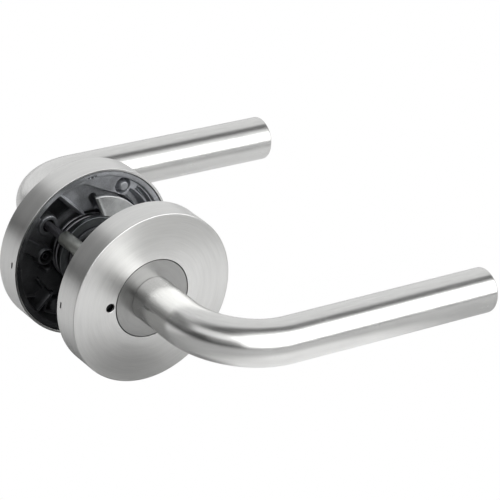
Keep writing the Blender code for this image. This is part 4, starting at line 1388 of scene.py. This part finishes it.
class LEVER_OT_stage(Operator):
    """Make the floor, the soft light round the set and the camera"""

    bl_idname = "lever.stage"
    bl_label = "Stage"

    def floor(self):
        """A wide level square just under the roses. The camera sees it white. What it lights and
        what mirrors it find it brightest below the outer lever and behind it, dim below the neck:
        a painted pool of light and a painted shadow."""
        size = 3.0
        level = CAD_BOX[0].z - 1.0 * MM
        corners = [(x, y, level) for x, y in ((-size, -size), (size, -size), (size, size), (-size, size))]
        mesh = bpy.data.meshes.new("floor")
        mesh.from_pydata(corners, [], [(0, 1, 2, 3)])
        material = bpy.data.materials.new("floor_paper")
        material.use_nodes = True
        tree = Tree(material.node_tree)
        material.node_tree.nodes.clear()
        seen = tree.node("ShaderNodeEmission", Color=(1.0, 1.0, 1.0, 1.0), Strength=1.0)
        place = tree.coordinates()
        y = tree.node("ShaderNodeSeparateXYZ", Vector=place).outputs[1]
        # Painted pool of light on the floor below the outer lever, and light behind it.
        below_lever = (0.045, -0.085, level)
        tone = self.falloff(tree, place, below_lever, 0.035, 0.080, 1.0, 0.52)
        tone = tree.math("MAXIMUM", tone, tree.ramp(y, -0.05, 0.02, 0.0, 0.92))
        # Painted shadow on the floor below the neck.
        below_neck = (0.004, -0.047, level)
        under = self.falloff(tree, place, below_neck, 0.004, 0.022, 0.50, 1.0)
        paper = tree.node("ShaderNodeBsdfDiffuse", Color=tree.math("MULTIPLY", tone, under))
        self.split(tree, paper, seen, "ShaderNodeOutputMaterial")
        mesh.materials.append(material)
        linked("floor", mesh)

    def split(self, tree, lit, seen, output):
        """Give the camera one shader and every other ray another."""
        eye = tree.node("ShaderNodeLightPath").outputs["Is Camera Ray"]
        mixed = tree.node("ShaderNodeMixShader")
        for socket, value in zip(mixed.inputs, (eye, lit.outputs[0], seen.outputs[0])):
            tree.feed(socket, value)
        tree.feed(tree.node(output).inputs["Surface"], mixed.outputs[0])

    def falloff(self, tree, place, centre, near, far, to_near, to_far):
        """Smooth change with the distance from a point."""
        gap = tree.node("ShaderNodeVectorMath", {"operation": "DISTANCE"})
        tree.feed(gap.inputs[0], place)
        gap.inputs[1].default_value = centre
        return tree.ramp(gap.outputs["Value"], near, far, to_near, to_far)

    def surroundings(self):
        """A pale room: even light, with a dark gap overhead behind the key panel, a dark corner
        behind the left of the set and a dark strip along the left of the horizon."""
        world = bpy.data.worlds.new("studio")
        bpy.context.scene.world = world
        world.use_nodes = True
        world.node_tree.nodes.clear()
        tree = Tree(world.node_tree)
        way = tree.node("ShaderNodeTexCoord").outputs["Generated"]
        parts = tree.node("ShaderNodeSeparateXYZ", Vector=way)
        x, y, z = parts.outputs[:3]
        off_centre = tree.math("ABSOLUTE", tree.math("ADD", y, 0.06))
        gap = tree.ramp(off_centre, 0.14, 0.24, 0.85, 0.0)
        corner_way = tree.node("ShaderNodeVectorMath", {"operation": "DOT_PRODUCT"})
        tree.feed(corner_way.inputs[0], way)
        corner_way.inputs[1].default_value = Vector((-0.62, 0.70, 0.28)).normalized()
        corner = tree.ramp(corner_way.outputs["Value"], 0.80, 0.90, 0.0, 0.72)
        low = tree.ramp(z, 0.10, 0.26, 0.85, 0.0)
        left = tree.ramp(x, -0.45, -0.05, 1.0, 0.0)
        strip = tree.math("MULTIPLY", low, left)
        above = tree.math("ABSOLUTE", tree.math("SUBTRACT", z, 0.05))
        horizon = tree.ramp(above, 0.05, 0.10, 0.92, 0.0)
        horizon = tree.math("MULTIPLY", horizon, tree.ramp(y, -0.4, 0.0, 1.0, 0.0))
        dim_left = tree.ramp(x, -0.4, 0.0, 0.7, 0.0)
        dim_left = tree.math("MULTIPLY", dim_left, tree.ramp(y, 0.2, 0.5, 1.0, 0.0))
        level = 1.0
        for darkness in (gap, horizon, dim_left, corner, strip):
            level = tree.math("MULTIPLY", level, tree.math("SUBTRACT", 1.0, darkness))
        room = tree.node("ShaderNodeBackground", Color=(0.97, 0.97, 0.97, 1.0))
        tree.feed(room.inputs["Strength"], level)
        paper = tree.node("ShaderNodeBackground", Color=(1.0, 1.0, 1.0, 1.0), Strength=1.0)
        self.split(tree, room, paper, "ShaderNodeOutputWorld")

    def panel(self, name, centre, towards, width, height, power):
        """A soft rectangular light, out of the camera's sight."""
        light = bpy.data.lights.new(name, "AREA")
        light.shape = "RECTANGLE"
        light.size = width
        light.size_y = height
        light.energy = power
        item = linked(name, light)
        item.location = centre
        item.rotation_euler = (Vector(towards) - Vector(centre)).to_track_quat("-Z", "Y").to_euler()
        item.visible_camera = False

    def camera(self, stage):
        """The camera stands back from the middle of the outer lever's reach, turned by its roll."""
        a, e, r = stage.azimuth, stage.elevation, stage.roll
        back = Vector((math.sin(a) * math.cos(e), -math.cos(a) * math.cos(e), math.sin(e)))
        right = Vector((math.cos(a), math.sin(a), 0.0))
        up = back.cross(right)
        across = right * math.cos(r) + up * math.sin(r)
        upward = up * math.cos(r) - right * math.sin(r)
        aim = Vector((54.14 * MM, -8.69 * MM, 0.0))
        data = bpy.data.cameras.new("camera")
        data.lens = stage.lens
        data.sensor_width = 36.0
        data.clip_start = 0.05
        data.clip_end = 20.0
        item = linked("camera", data)
        turn = Matrix((across, upward, back)).transposed().to_4x4()
        item.matrix_world = Matrix.Translation(aim + back * stage.distance) @ turn
        bpy.context.scene.camera = item

    def execute(self, context):
        stage = context.scene.lever_stage
        self.floor()
        self.surroundings()
        in_front = (0.30, -0.3586, 0.2173)
        self.panel("key_panel", in_front, (0.28, 0.0, -0.02), 1.1, 0.40, stage.key)
        on_left = (-0.41, -0.20, 0.38)
        self.panel("side_panel", on_left, (0.0, -0.05, 0.0), 0.55, 0.26, stage.side)
        self.camera(stage)
        context.scene.view_settings.view_transform = "Standard"
        return {"FINISHED"}


class LEVER_PT_panel(Panel):
    """Lists the settings and the operators of the set"""

    bl_idname = "LEVER_PT_panel"
    bl_label = "Door Lever"
    bl_space_type = "VIEW_3D"
    bl_region_type = "UI"
    bl_category = "Door Lever"

    def draw(self, context):
        layout = self.layout
        for key, group in GROUPS.items():
            box = layout.box()
            for name in group.__annotations__:
                box.prop(getattr(context.scene, key), name)
        for operator in OPERATORS:
            layout.operator(operator.bl_idname)


GROUPS = {
    "lever_steel": SteelSettings,
    "lever_rose": RoseSettings,
    "lever_tube": LeverSettings,
    "lever_casting": CastingSettings,
    "lever_stage": StageSettings,
}
OPERATORS = (
    LEVER_OT_stage,
    LEVER_OT_covers,
    LEVER_OT_discs,
    LEVER_OT_tubes,
    LEVER_OT_tips,
    LEVER_OT_castings,
    LEVER_OT_keepers,
    LEVER_OT_bearings,
    LEVER_OT_springs,
    LEVER_OT_spindle,
    LEVER_OT_bolts,
    LEVER_OT_button,
)


def register():
    for name, group in GROUPS.items():
        bpy.utils.register_class(group)
        setattr(bpy.types.Scene, name, PointerProperty(type=group))
    for operator in OPERATORS:
        bpy.utils.register_class(operator)
    bpy.utils.register_class(LEVER_PT_panel)


def unregister():
    bpy.utils.unregister_class(LEVER_PT_panel)
    for operator in reversed(OPERATORS):
        bpy.utils.unregister_class(operator)
    for name, group in GROUPS.items():
        delattr(bpy.types.Scene, name)
        bpy.utils.unregister_class(group)


def main():
    register()
    for operator in OPERATORS:
        family, name = operator.bl_idname.split(".")
        if getattr(getattr(bpy.ops, family), name)() != {"FINISHED"}:
            raise RuntimeError(operator.bl_label + " didn't finish")


if __name__ == "__main__":
    main()
